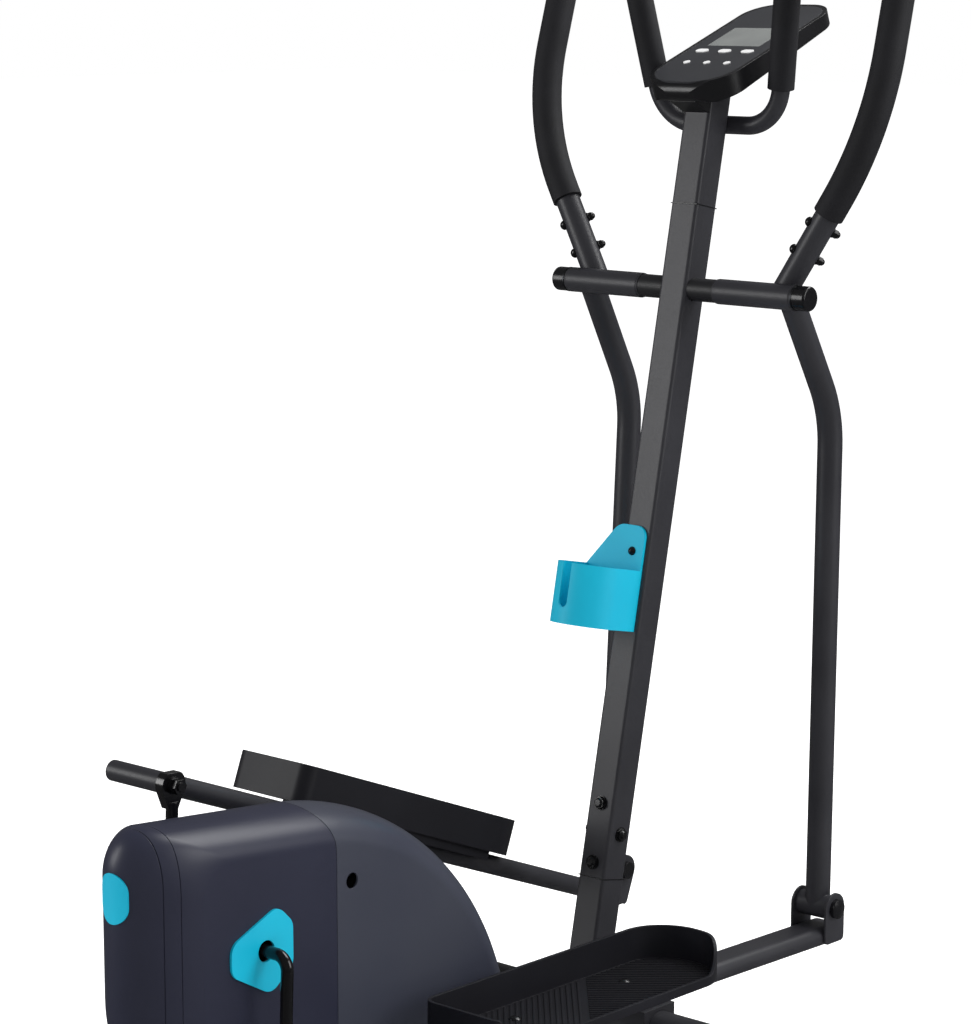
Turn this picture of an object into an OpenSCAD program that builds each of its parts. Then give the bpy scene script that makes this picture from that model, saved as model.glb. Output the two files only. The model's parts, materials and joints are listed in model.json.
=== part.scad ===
// Front-mast elliptical trainer: a leaning mast with two swinging handle arms, two pedal arms
// driven by a one-piece crank, and a closed drive housing behind. Millimetres.
// +X is forward, +Y is the user's left, +Z is up, and the origin is on the floor
// below the middle of the length.

/* [Mast] */
// Side of the square mast tube
mast_side = 40; // [38:1:44]
// Wall of the mast tube
mast_wall = 2; // [1.5:0.25:3]
// Play between a sliding insert and the tube round it, on each side
mast_play = 0.2; // [0.1:0.05:0.4]
// Lean of the mast, forward at the top
mast_lean = 11.7; // [11:0.1:12.4]
// Height of the joint between base and lower mast
base_joint_z = 242; // [225:1:260]
// Height of the joint between lower and upper mast
upper_joint_z = 1058; // [1045:1:1070]
// Height of the top of the mast
mast_top_z = 1208; // [1200:1:1216]

/* [Crossbar] */
// Height of the swing axle
axle_z = 958; // [950:1:966]
// Forward place of the swing axle
axle_x = 350.3; // [344.3:1:356.3]
// Diameter of the swing axle
axle_d = 25; // [24:0.5:26]
// Distance from the middle to the end of the axle
axle_reach = 181; // [179:1:185]
// Diameter of the caps on the axle ends
axle_cap_d = 30; // [28:0.5:31]
// Distance from the middle to the outer face of those caps
cap_reach = 197; // [194:0.5:199]

/* [Swing arms] */
// Diameter of the swing arm tubes
arm_d = 31; // [30:0.5:33]
// Wall of the swing arm tubes
arm_wall = 2; // [1.5:0.25:2.25]
// Inner end of the turning sleeve
sleeve_in = 60; // [56:1:64]
// Outer end of the turning sleeve
sleeve_out = 174; // [172:1:176]
// Plane of the lower tube, from the middle
arm_y = 156.2; // [154:0.2:158]
// Length from the axle down to the lower pivot
arm_drop = 772; // [768:1:776]
// Forward offset of the lower pivot from the axle
arm_lead = 103.5; // [100:0.5:107]
// Slope of the cranked upper stretch of the lower tube
arm_slope = 31; // [29:0.5:33]
// Bend radius of the lower tube
arm_bend = 150; // [130:5:170]
// Diameter of the lower pivot pin
pivot_pin_d = 12; // [10:1:14]

/* [Handles] */
// Diameter of the handle tube
handle_d = 26.4; // [26:0.1:26.6]
// Diameter of the foam grips on the handles
grip_d = 38; // [36:0.5:40]
// Distance from the middle to the upright part of a handle
handle_y = 266; // [260:1:272]
// Height of the handle ends above the axle
handle_rise = 602; // [580:1:620]
// Forward slope of the upright part of a handle
handle_slope = 0.24; // [0.2:0.01:0.28]
// Bend radius of the handles
handle_bend = 330; // [300:5:345]

/* [Fixed handlebar] */
// Diameter of the fixed handlebar
bar_d = 22.5; // [21:0.5:24]
// Diameter of the foam on the fixed handlebar
bar_grip_d = 33; // [31:0.5:34]
// Height of the fixed handlebar at the mast
bar_z = 1155; // [1148:1:1160]
// Distance from the middle to each end of the fixed handlebar
bar_end_y = 129; // [125:1:133]
// Height of the ends of the fixed handlebar
bar_end_z = 1400; // [1380:1:1420]

/* [Crank] */
// Height of the crank axis
crank_z = 309; // [307:1:311]
// Place of the crank axis, behind the middle
crank_x = -423.7; // [-425.7:1:-421.7]
// Throw of the crank
crank_r = 155; // [151:1:159]
// Turn of the crank from upright, left pin up
crank_phase = 2.4; // [0:0.1:5]
// Diameter of the crank bar
crank_d = 14; // [13:0.5:16]
// Distance from the middle to the crank arms
crank_y = 92; // [91:0.5:93]
// Distance from the middle to the pin eyes
eye_y = 95; // [94:0.5:96]
// Thickness of the pin eyes
eye_t = 12; // [10:0.5:13]
// Diameter of the crank pins
pin_d = 12; // [11:0.5:13]
// Radial clearance of every turning shaft in its hole
run_gap = 0.06; // [0.03:0.01:0.09]
// Gap between flat faces that turn past each other
side_gap = 0.4; // [0.35:0.05:0.6]

/* [Pedal arms] */
// Distance from crank pin to lower pivot
link_l = 874; // [870:1:878]
// Height of the lower pivot over the pedal arm's axis
link_rise = 36; // [35:0.5:38]
// Width of the flat pedal arm tube
link_w = 48; // [46:0.5:50]
// Height of the flat pedal arm tube
link_h = 24; // [22:0.5:25]
// Wall of the pedal arm tube
link_wall = 2; // [1.5:0.25:3]
// Place of the tube's middle at the crank, from the middle of the trainer
link_rear_y = 129; // [128:0.5:131]
// Diameter of the sleeve round the crank pin
link_sleeve_d = 24; // [22:0.5:26]
// Outer end of that sleeve
link_sleeve_out = 188; // [184:1:192]
// Thickness of the yoke plates
yoke_t = 3; // [2.5:0.25:4]
// Width of the yoke plates
yoke_w = 39; // [36:0.5:42]

/* [Pedals] */
// Length of a pedal
pedal_l = 418; // [400:1:430]
// Width of a pedal
pedal_w = 122; // [116:1:126]
// Distance from the crank pin to the pedal's rear edge
pedal_start = 208; // [200:1:216]
// Distance from the middle to the pedal's inner edge
pedal_in_y = 96; // [94:1:98]
// Height of the pedal's underside over the arm's axis
pedal_base = 15; // [14:0.5:17]
// Thickness of the pedal's floor
pedal_floor = 5; // [4:0.5:6]
// Thickness of the pedal's walls
pedal_wall = 4; // [3:0.5:5]
// Height of the high wall over the underside
pedal_high = 45; // [40:1:50]
// Height of the low outer wall over the underside
pedal_low = 11; // [9:1:16]

/* [Housing] */
// Half width of the drive housing
house_y = 57; // [56:0.5:60]
// Wall of the housing shells
house_wall = 2.5; // [2:0.25:3]
// Rearmost point of the housing
house_rear = -586.7; // [-591.7:1:-583.7]
// Height of the top at its rear end
house_top = 460.2; // [458:0.2:464]
// Fall of the top towards the front, over its length
house_fall = 0.081; // [0.078:0.001:0.085]
// Radius of the rounded front
house_nose_r = 369.7; // [367:0.1:372]
// Height of the crown over the flat sides, along the top and the nose
crown_d = 38; // [34:1:40]
// Depth of the rounded rear end, seen from above
house_end = 88; // [80:1:92]
// Seam between rear and front shells
seam_x = -313.7; // [-317.7:1:-309.7]
// Seam between the rear end cap and the rear shells
cap_seam_x = -537.7; // [-541.7:1:-531.7]

/* [Drive] */
// Radius of the belt pulley on the crank
pulley_r = 104; // [100:1:105]
// Radius of the small pulley on the flywheel
small_pulley_r = 20.8; // [20:0.2:22]
// Width of the belt
belt_w = 14; // [12:1:16]
// Thickness of the belt
belt_t = 3; // [2:0.5:3.5]
// Middle of the belt, from the middle of the trainer
belt_y = 26; // [25:0.5:27]
// Radius of the flywheel
flywheel_r = 104; // [95:1:106]
// Width of the flywheel's rim
flywheel_w = 26; // [22:1:28]
// Place of the flywheel's axis
flywheel_x = -193.7; // [-197.7:1:-189.7]
// Height of the flywheel's axis
flywheel_z = 238; // [234:1:242]
// Diameter of the flywheel's axle
flywheel_axle_d = 12; // [10:1:14]

/* [Floor frame] */
// Width of the floor beam
beam_w = 40; // [38:1:44]
// Height of the floor beam
beam_h = 60; // [56:1:62]
// Top of the floor beam
beam_top = 124; // [123:0.5:124]
// Diameter of the floor tubes
floor_d = 50; // [48:1:54]
// Length of the floor tubes between their end caps
floor_l = 440; // [420:5:460]
// Place of the rear floor tube
rear_floor_x = -521.7; // [-531.7:1:-511.7]
// Place of the front floor tube
front_floor_x = 266.3; // [258.3:1:274.3]
// Radius of the transport wheels
wheel_r = 25; // [22:1:28]

/* [Bottle holder] */
// Outer radius of the bottle cup
cup_r = 43; // [42:0.5:46]
// Height of the bottle cup
cup_h = 75; // [70:0.5:80]
// Wall of the bottle cup
cup_wall = 3; // [2:0.5:4]
// Height of the holder's screw
holder_z = 641; // [632:1:650]

/* [Console] */
// Half width of the console
console_y = 64; // [62:0.5:66]
// Length of the console along its face
console_l = 264; // [258:1:268]
// Thickness of the console at its nearer edge
console_t = 28; // [26:0.5:30]
// Thickness of the console at its far edge
console_far_t = 17; // [15:0.5:18]
// Tilt of the console's face
console_tilt = 20.5; // [19:0.5:22]
// Travel of the console's keys
key_travel = 1; // [0.6:0.1:1.2]

/* [Hidden] */

LEFT = 1;
RIGHT = -1;
ROUND = 64;

charcoal = "#3a3a3d";
dark_blue = "#2e303c";
shell_grey = "#4a4c56";
foam_black = "#1e1e22";
cyan = "#00b4d4";
steel = "#a8abb0";
black = "#17181b";

// ---------- general shapes ----------

function unit(v) = v / norm(v);
function square_to(v) = unit(abs(v[0]) < 0.9 * norm(v) ? cross(v, [1, 0, 0]) : cross(v, [0, 1, 0]));
function bend_angle(a, b, c) = acos(unit(b - a) * unit(c - b));
function setback(p, i, r) = i == 0 || i == len(p) - 1 ? 0
    : r * tan(bend_angle(p[i - 1], p[i], p[i + 1]) / 2);
function lengthened(p, e) = [
    for (i = [0 : len(p) - 1])
        i == 0 ? p[0] + unit(p[0] - p[1]) * e :
        i == len(p) - 1 ? p[i] + unit(p[i] - p[i - 1]) * e : p[i]
];
function arc(c, a, b, from, to, n) = [
    for (i = [0 : n]) let (t = from + (to - from) * i / n) [c[0] + a * cos(t), c[1] + b * sin(t)]
];

module axes_at(x, y, z, p) {
    multmatrix([
        [x[0], y[0], z[0], p[0]],
        [x[1], y[1], z[1], p[1]],
        [x[2], y[2], z[2], p[2]],
        [0, 0, 0, 1]
    ]) children();
}

module rod(p, q, d) {
    w = unit(q - p);
    u = square_to(w);
    axes_at(u, cross(w, u), w, p) cylinder(d = d, h = norm(q - p), $fn = ROUND);
}

module elbow(a, b, c, r, d) {
    u = unit(b - a);
    v = unit(c - b);
    turn = acos(u * v);
    n = unit(v - (u * v) * u);
    axes_at(-n, u, cross(-n, u), b - u * r * tan(turn / 2) + n * r)
        rotate_extrude(angle = turn, $fn = 96) translate([r, 0]) circle(d = d, $fn = ROUND);
}

// A round bar through the points p, bent at each inner point with radius r. A hair-thick
// collar closes each joint between a straight stretch and a bend.
collar = 0.02;
collar_half = 0.2;
module bent_rod(p, r, d) {
    last = len(p) - 1;
    for (i = [0 : last - 1]) {
        u = unit(p[i + 1] - p[i]);
        a = p[i] + u * setback(p, i, r);
        b = p[i + 1] - u * setback(p, i + 1, r);
        rod(a, b, d);
        if (i > 0) rod(a - u * collar_half, a + u * collar_half, d + 2 * collar);
        if (i < last - 1) rod(b - u * collar_half, b + u * collar_half, d + 2 * collar);
    }
    for (i = [1 : last - 1]) elbow(p[i - 1], p[i], p[i + 1], r, d);
}

module bent_tube(p, r, d, wall) {
    difference() {
        bent_rod(p, r, d);
        bent_rod(lengthened(p, 1), r, d - 2 * wall);
    }
}

// A bar along Y between two distances from the middle, on side s
module cross_rod(s, y1, y2, d) {
    translate([0, s * (y1 + y2) / 2, 0]) rotate([90, 0, 0])
        cylinder(d = d, h = y2 - y1, center = true, $fn = ROUND);
}

module ring(s, y1, y2, d, hole) {
    difference() {
        cross_rod(s, y1, y2, d);
        cross_rod(s, y1 - 1, y2 + 1, hole);
    }
}

// Flat outline with rounded corners of radius r round the centres c, counter-clockwise
module rounded(c, r) {
    n = len(c);
    polygon([
        for (i = [0 : n - 1], j = [0, 1])
            let (a = c[i], b = c[(i + 1) % n], d = unit(b - a), out = [d[1], -d[0]])
                (j == 0 ? a : b) + out * r
    ]);
    for (p = c) translate(p) circle(r = r, $fn = ROUND);
}

// Round-ended outline along Y, with its end centres l apart
module stadium(l, r) {
    square([2 * r, l], center = true);
    for (s = [-1, 1]) translate([0, s * l / 2]) circle(r = r, $fn = ROUND);
}

module rounded_box(x, y, r) {
    rounded([[-x / 2 + r, -y / 2 + r], [x / 2 - r, -y / 2 + r], [x / 2 - r, y / 2 - r],
        [-x / 2 + r, y / 2 - r]], r);
}

// Extrudes an X-Z outline along Y between two distances from the middle, on side s
module slab(s, y1, y2) {
    translate([0, s > 0 ? y2 : -y1, 0]) rotate([90, 0, 0]) linear_extrude(y2 - y1) children();
}

// Round head along +Z, h high, with its edge rounded by r
module rounded_head(d, h, r) {
    rotate_extrude($fn = 96) {
        square([d / 2 - r, h]);
        square([d / 2, h - r]);
        translate([d / 2 - r, h - r]) circle(r = r, $fn = ROUND);
    }
}

module hexagon(across) circle(d = across / cos(30), $fn = 6);

module bolt_head(d, h) {
    linear_extrude(h * 0.6) hexagon(d * 1.7);
    translate([0, 0, h * 0.6 - 0.01]) cylinder(d1 = d * 1.5, d2 = d, h = h * 0.4, $fn = ROUND);
}

module acorn_nut(d) {
    linear_extrude(d * 0.8) hexagon(d * 1.6);
    translate([0, 0, d * 0.75]) intersection() {
        sphere(d = d * 1.5, $fn = 48);
        cylinder(d = d * 2, h = d, $fn = ROUND);
    }
}

// ---------- linkage places ----------

// Lower crossing of the circles round a and b, in the X-Z plane
function lower_crossing(a, ra, b, rb) =
    let (
        d = b - a,
        l = norm(d),
        u = d / l,
        k = (ra * ra - rb * rb + l * l) / (2 * l),
        h = sqrt(ra * ra - k * k)
    ) a + u * k + [u[1], -u[0]] * h;

axle_at = [axle_x, axle_z];
crank_at = [crank_x, crank_z];
arm_l = norm([arm_lead, arm_drop]);
function pin_at(s) = crank_at + s * crank_r * [sin(crank_phase), cos(crank_phase)];
function pivot_at(s) = lower_crossing(pin_at(s), link_l, axle_at, arm_l);
function arm_turn(s) =
    let (p = pivot_at(s) - axle_at)
        atan2(p[0], p[1]) - atan2(arm_lead, -arm_drop) + (atan2(p[0], p[1]) < 0 ? 360 : 0);
function link_turn(s) =
    let (p = pivot_at(s) - pin_at(s)) atan2(p[1], p[0]) - asin(link_rise / link_l);

link_run = sqrt(link_l * link_l - link_rise * link_rise);

module on_arm(s) translate([axle_x, 0, axle_z]) rotate([0, arm_turn(s), 0]) children();
module on_link(s) translate([pin_at(s)[0], 0, pin_at(s)[1]]) rotate([0, -link_turn(s), 0]) children();
module on_crank() translate([crank_x, 0, crank_z]) children();

// ---------- mast ----------

mast_x = axle_x + 3.4;
mast_bore = mast_side - 2 * mast_wall;
function mast_s(z) = (z - axle_z) / cos(mast_lean);
module on_mast() translate([mast_x, 0, axle_z]) rotate([0, mast_lean, 0]) children();

module square_tube(side, wall, z1, z2, r) {
    translate([0, 0, z1]) linear_extrude(z2 - z1) difference() {
        rounded_box(side, side, r);
        rounded_box(side - 2 * wall, side - 2 * wall, max(r - wall, 0.5));
    }
}

// Square tube inside the mast, welded where it has no play and sliding where it has
module mast_insert(z1, z2, play = 0) {
    wall = mast_wall + (play == 0 ? mast_play : 0);
    square_tube(mast_bore - 2 * play, wall, z1, z2, mast_corner - mast_wall - play);
}

mast_corner = 4;
base_bolt_z = [260, 297, 332];
upper_bolt_z = [998, 1036];
insert_up = 130;
insert_down = 90;
bolt_d = 8;
bolt_hole = bolt_d + 0.4;

module mast_holes() {
    // two base bolts pass from rear to front, and the middle one from side to side
    for (i = [0 : 2]) translate([0, 0, mast_s(base_bolt_z[i])]) rotate([0, 0, i == 1 ? 90 : 0])
        rotate([0, 90, 0]) cylinder(d = bolt_hole, h = 2 * mast_side, center = true, $fn = ROUND);
    // the upper pair goes through the front face only
    for (z = upper_bolt_z) translate([0, 0, mast_s(z)])
        rotate([0, 90, 0]) cylinder(d = bolt_hole, h = mast_side, $fn = ROUND);
}

module mast_base() {
    color(charcoal) difference() {
        on_mast() {
            square_tube(mast_side, mast_wall, mast_s(beam_top) - mast_side / 2, mast_s(base_joint_z),
                mast_corner);
            mast_insert(mast_s(base_joint_z) - mast_side / 2, mast_s(base_joint_z));
            mast_insert(mast_s(base_joint_z) - 1, mast_s(base_joint_z) + insert_up, mast_play);
        }
        on_mast() mast_holes();
        // the foot is cut level with the beam's top
        translate([mast_foot_x - 2 * mast_side, -mast_side, 0])
            cube([4 * mast_side, 2 * mast_side, beam_top]);
    }
}
mast_foot_x = mast_x + (beam_top - axle_z) * tan(mast_lean);

module lower_mast() {
    color(charcoal) difference() {
        on_mast() difference() {
            square_tube(mast_side, mast_wall, mast_s(base_joint_z), mast_s(upper_joint_z), mast_corner);
            mast_holes();
            holder_screw_hole();
        }
        translate([axle_x, 0, axle_z]) rotate([90, 0, 0])
            cylinder(d = axle_d, h = 2 * mast_side, center = true, $fn = ROUND);
    }
}

module upper_mast() {
    color(charcoal) difference() {
        on_mast() {
            square_tube(mast_side, mast_wall, mast_s(upper_joint_z), mast_s(mast_top_z), mast_corner);
            mast_insert(mast_s(upper_joint_z), mast_s(upper_joint_z) + insert_down / 2);
            mast_insert(mast_s(upper_joint_z) - insert_down, mast_s(upper_joint_z) + 1, mast_play);
        }
        on_mast() mast_holes();
        at_bar_bolts() translate([0, 0, -bar_d]) cylinder(d = bar_bolt_hole, h = bar_d, $fn = ROUND);
    }
}

module mast_bolts() {
    color(black) {
        on_mast() {
            for (i = [0 : 2]) translate([0, 0, mast_s(base_bolt_z[i])]) rotate([0, 0, i == 1 ? 90 : 0])
                through_bolt();
            for (z = upper_bolt_z) translate([0, 0, mast_s(z)]) front_bolt();
            holder_screw();
        }
        bar_bolts();
    }
}

// Acorn nut on a washer, on the front face of the mast
module mast_nut() {
    translate([mast_side / 2, 0, 0]) rotate([0, 90, 0]) {
        cylinder(d = mast_washer_d, h = mast_washer_t, $fn = ROUND);
        translate([0, 0, mast_washer_t]) acorn_nut(bolt_d);
    }
}

// Bolt with its domed head behind the mast and an acorn nut in front
module through_bolt() {
    rotate([0, 90, 0]) cylinder(d = bolt_d, h = mast_side, center = true, $fn = ROUND);
    translate([-mast_side / 2, 0, 0]) rotate([0, -90, 0]) {
        cylinder(d = mast_washer_d, h = mast_washer_t, $fn = ROUND);
        translate([0, 0, mast_washer_t]) bolt_head(bolt_d, 6);
    }
    mast_nut();
}

// Short bolt through the front wall only
module front_bolt() {
    start = mast_side / 2 - 4 * mast_wall;
    translate([start, 0, 0]) rotate([0, 90, 0])
        cylinder(d = bolt_d, h = mast_side / 2 - start, $fn = ROUND);
    mast_nut();
}
mast_washer_d = 18;
mast_washer_t = 1.6;

// ---------- crossbar ----------

axle_wall = 3;
bush_flange = 2;
washer_t = 2;
spacer_d = 28.5;
spacer_end = sleeve_in - bush_flange - side_gap;
cap_start = sleeve_out + bush_flange + side_gap + washer_t;

module crossbar_axle() {
    color(black) translate([axle_x, 0, axle_z]) {
        difference() {
            union() {
                cross_rod(1, -axle_reach, axle_reach, axle_d);
                for (s = [LEFT, RIGHT]) cross_rod(s, mast_side / 2, spacer_end, spacer_d);
            }
            cross_rod(1, -axle_reach - 1, axle_reach + 1, axle_d - 2 * axle_wall);
        }
    }
}

module axle_washers() {
    color(steel) translate([axle_x, 0, axle_z]) for (s = [LEFT, RIGHT])
        ring(s, cap_start - washer_t, cap_start, arm_d, axle_d);
}

module axle_caps() {
    plug = 25;
    color(black) translate([axle_x, 0, axle_z]) for (s = [LEFT, RIGHT]) {
        difference() {
            translate([0, s * cap_start, 0]) rotate([s * -90, 0, 0])
                rounded_head(axle_cap_d, cap_reach - cap_start, 3);
            cross_rod(s, cap_start - 1, axle_reach, axle_d);
        }
        cross_rod(s, axle_reach - plug, axle_reach + 1, axle_d - 2 * axle_wall);
    }
}

// Part of a ball, d across and h high, with a short root that sinks into what it caps
module dome(d, h) {
    r = (d * d / 4 + h * h) / (2 * h);
    rotate_extrude($fn = 96) {
        intersection() {
            translate([0, h - r]) circle(r = r, $fn = 128);
            square([d / 2 - 0.05, h]);
        }
        translate([0, -0.5]) square([d / 2 - 0.05, 0.6]);
    }
}

// The same head with its root ending on the face it sits on
module button(d, h) {
    translate([0, 0, 0.5]) dome(d, h);
}

// ---------- swing arms ----------

bush_wall = (arm_d - 2 * arm_wall - axle_d) / 2 - run_gap;
bush_bore = axle_d + 2 * run_gap;
sleeve_bore = bush_bore + 2 * bush_wall;
bush_l = 20;
pivot_half = link_w / 2 - side_gap;
stub_foot = [15.2, arm_y - 0.4, 20];
stub_dir = unit([4.7, 48.6, 79]);
stub_l = 93;
stub_back = 22;
saddle_t = 1;
function sided(p, s) = [p[0], s * p[1], p[2]];
function knee_h() = (arm_lead - 14) / tan(arm_slope);
function lower_path(s) = [
    [14, s * arm_y, 0],
    [arm_lead, s * arm_y, -knee_h()],
    [arm_lead, s * arm_y, -arm_drop]
];

module swing_arm(s) {
    color(charcoal) on_arm(s) difference() {
        union() {
            cross_rod(s, sleeve_in, sleeve_out, arm_d);
            bent_rod(lower_path(s), arm_bend, arm_d);
            rod(sided(stub_foot - stub_dir * stub_back, s), sided(stub_foot + stub_dir * stub_l, s),
                arm_d);
            translate([arm_lead, 0, -arm_drop])
                cross_rod(s, arm_y - pivot_half, arm_y + pivot_half, arm_d);
        }
        bent_rod(lower_path(s), arm_bend, arm_d - 2 * arm_wall);
        rod(sided(stub_foot - stub_dir * stub_back, s),
            sided(stub_foot + stub_dir * (stub_l + 1), s), arm_d - 2 * arm_wall);
        cross_rod(s, sleeve_in - 1, sleeve_out + 1, sleeve_bore);
        translate([arm_lead, 0, -arm_drop])
            cross_rod(s, arm_y - pivot_half - 1, arm_y + pivot_half + 1, pivot_pin_d);
        handle_bolt_holes(s);
    }
}

module arm_bushes(s) {
    color("#d8d4c8") on_arm(s) {
        ring(s, sleeve_in, sleeve_in + bush_l, sleeve_bore, bush_bore);
        ring(s, sleeve_in - bush_flange, sleeve_in, arm_d - 1, bush_bore);
        ring(s, sleeve_out - bush_l, sleeve_out, sleeve_bore, bush_bore);
        ring(s, sleeve_out, sleeve_out + bush_flange, arm_d - 1, bush_bore);
    }
}

// ---------- handles ----------

grip_start = 100;
handle_base = stub_foot + stub_dir * 10;
knee_up = (handle_y - stub_foot[1]) / stub_dir[1];
handle_knee = stub_foot + stub_dir * knee_up;
handle_top = handle_knee + [handle_slope, 0, 1] * (handle_rise - handle_knee[2]);
function handle_path(s) = [sided(handle_base, s), sided(handle_knee, s), sided(handle_top, s)];
handle_bolt_d = 6;
handle_bolt_hole = handle_bolt_d + 0.4;
left_bolts_at = [21.5, 61.5];
right_bolts_at = [36.5, 75.5];

// The nuts of both arms point the same way, to the user's right
module at_handle_bolts(s) {
    axis = sided(stub_dir, s);
    right = [0.6, -0.8, 0];
    d = unit(right - (right * axis) * axis);
    for (l = s > 0 ? left_bolts_at : right_bolts_at)
        axes_at(axis, cross(d, axis), d, sided(stub_foot + stub_dir * l, s)) children();
}

module handle_bolt_holes(s) {
    at_handle_bolts(s) cylinder(d = handle_bolt_hole, h = 2 * arm_d, center = true, $fn = ROUND);
}

module handle(s) {
    color(charcoal) on_arm(s) difference() {
        bent_tube(handle_path(s), handle_bend, handle_d, 2);
        handle_bolt_holes(s);
    }
}

module handle_grip(s) {
    start = stub_foot + stub_dir * (stub_l + 0.5);
    path = [sided(start, s), sided(handle_knee, s), sided(handle_top, s)];
    top = sided(handle_top, s);
    up = unit([handle_slope, 0, 1]);
    color(foam_black) on_arm(s) {
        difference() {
            union() {
                bent_rod(path, handle_bend, grip_d);
                axes_at(unit([1, 0, -handle_slope]), [0, 1, 0], up, top) dome(grip_d - 1, 12);
            }
            bent_rod([path[0] - (path[1] - path[0]) * 0.01, path[1], top], handle_bend, handle_d);
        }
    }
}

// Two bolts through stub and handle, and the pin in the lower bush
module arm_bolts(s) {
    seat = arm_d / 2 + saddle_t;
    color(black) on_arm(s) {
        at_handle_bolts(s) {
            cylinder(d = handle_bolt_d, h = 2 * seat, center = true, $fn = ROUND);
            translate([0, 0, seat]) acorn_nut(handle_bolt_d);
            rotate([180, 0, 0]) translate([0, 0, seat]) button(2 * handle_bolt_d, 4);
        }
        // washers shaped to the round tube
        difference() {
            at_handle_bolts(s) cylinder(d = 2 * handle_bolt_d, h = 2 * seat, center = true, $fn = ROUND);
            rod(sided(stub_foot - stub_dir * stub_back, s), sided(stub_foot + stub_dir * stub_l, s),
                arm_d + 0.02);
        }
        translate([arm_lead, 0, -arm_drop])
            cross_rod(s, arm_y - pivot_half, arm_y + pivot_half, pivot_pin_d);
    }
}

// ---------- crank ----------

crank_bend = 16;
eye_h = 14;
eye_r = 17;
eye_neck = 26;
function arm_end(s) =
    let (k = (crank_r - eye_neck + crank_d / 2) / crank_r, p = crank_at + (pin_at(s) - crank_at) * k)
    [p[0], s * crank_y, p[1]];
function crank_path() = [
    arm_end(LEFT), [crank_x, crank_y, crank_z], [crank_x, -crank_y, crank_z], arm_end(RIGHT)
];

// Flat eye with its neck below, flattened above
module eye_outline() {
    intersection() {
        circle(r = eye_r, $fn = ROUND);
        translate([-eye_r, -eye_r]) square([2 * eye_r, eye_r + eye_h]);
    }
    polygon([
        [-eye_r * cos(30), -eye_r / 2], [-crank_d / 2, -eye_neck],
        [crank_d / 2, -eye_neck], [eye_r * cos(30), -eye_r / 2]
    ]);
}

module crank() {
    color(black) difference() {
        union() {
            bent_rod(crank_path(), crank_bend, crank_d);
            on_crank() cross_rod(1, -shell_half - 6, shell_half + 6, crank_d + 4);
            for (s = [LEFT, RIGHT]) translate([pin_at(s)[0], 0, pin_at(s)[1]])
                rotate([0, crank_phase + (s > 0 ? 0 : 180), 0])
                    slab(s, eye_y - eye_t / 2, eye_y + eye_t / 2) eye_outline();
        }
        for (s = [LEFT, RIGHT]) translate([pin_at(s)[0], 0, pin_at(s)[1]])
            cross_rod(s, eye_y - eye_t, eye_y + eye_t, pin_d);
    }
}

link_sleeve_in = link_rear_y - link_w / 2;
nut_t = 9;
nut_across = 16;
nut_thread_d = 10;
nut_washer_d = 20;
nut_washer_t = 1.6;
pin_collar_d = 18;
pin_end = link_sleeve_out - 8;

module crank_pins() {
    face = eye_y - eye_t / 2;
    color(black) for (s = [LEFT, RIGHT]) translate([pin_at(s)[0], 0, pin_at(s)[1]]) {
        cross_rod(s, face - 1, pin_end, pin_d);
        cross_rod(s, eye_y + eye_t / 2, link_sleeve_in - side_gap, pin_collar_d);
        cross_rod(s, face - nut_washer_t, face, nut_washer_d);
        slab(s, face - nut_washer_t - nut_t, face - nut_washer_t) hexagon(nut_across);
        cross_rod(s, face - nut_washer_t - nut_t - 2, face, nut_thread_d);
    }
}

// ---------- pedal arms ----------

module flat_oval(w, h) {
    square([w - h, h], center = true);
    for (s = [-1, 1]) translate([s * (w - h) / 2, 0]) circle(d = h, $fn = ROUND);
}

link_nose_out = 28;
link_front = link_run + link_nose_out - link_h / 2;
link_start = link_sleeve_d / 2 - 4;
function link_y(x) = link_rear_y + (arm_y - link_rear_y) * x / link_run;
link_skew = atan((arm_y - link_rear_y) / link_run);

module on_link_axis(s) translate([0, s * link_rear_y, 0]) rotate([0, 0, s * link_skew]) children();

module link_bar(s, w, h, from, to) {
    on_link_axis(s) translate([from, 0, 0]) rotate([90, 0, 90]) linear_extrude(to - from) flat_oval(w, h);
}

// Rounded front end of the flat tube
module link_nose(s) {
    on_link_axis(s) translate([link_front, 0, 0]) {
        rotate([90, 0, 0]) cylinder(d = link_h, h = link_w - link_h, center = true, $fn = ROUND);
        for (e = [-1, 1]) translate([0, e * (link_w - link_h) / 2, 0]) sphere(d = link_h, $fn = ROUND);
    }
}

module yoke_plate(s, y1, y2) {
    foot = yoke_w / 2 - yoke_corner;
    translate([link_run, 0, link_rise]) slab(s, y1, y2) {
        circle(d = yoke_w, $fn = ROUND);
        rounded([[-foot, yoke_corner - yoke_low], [foot, yoke_corner - yoke_low], [foot, 0],
            [-foot, 0]], yoke_corner);
    }
}
yoke_low = link_rise + 8;
yoke_corner = 6;
yoke_in = arm_y - link_w / 2;
yoke_out = arm_y + link_w / 2;
weld_h = 13;
weld_l = 24;
weld_in = 2.2;

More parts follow.
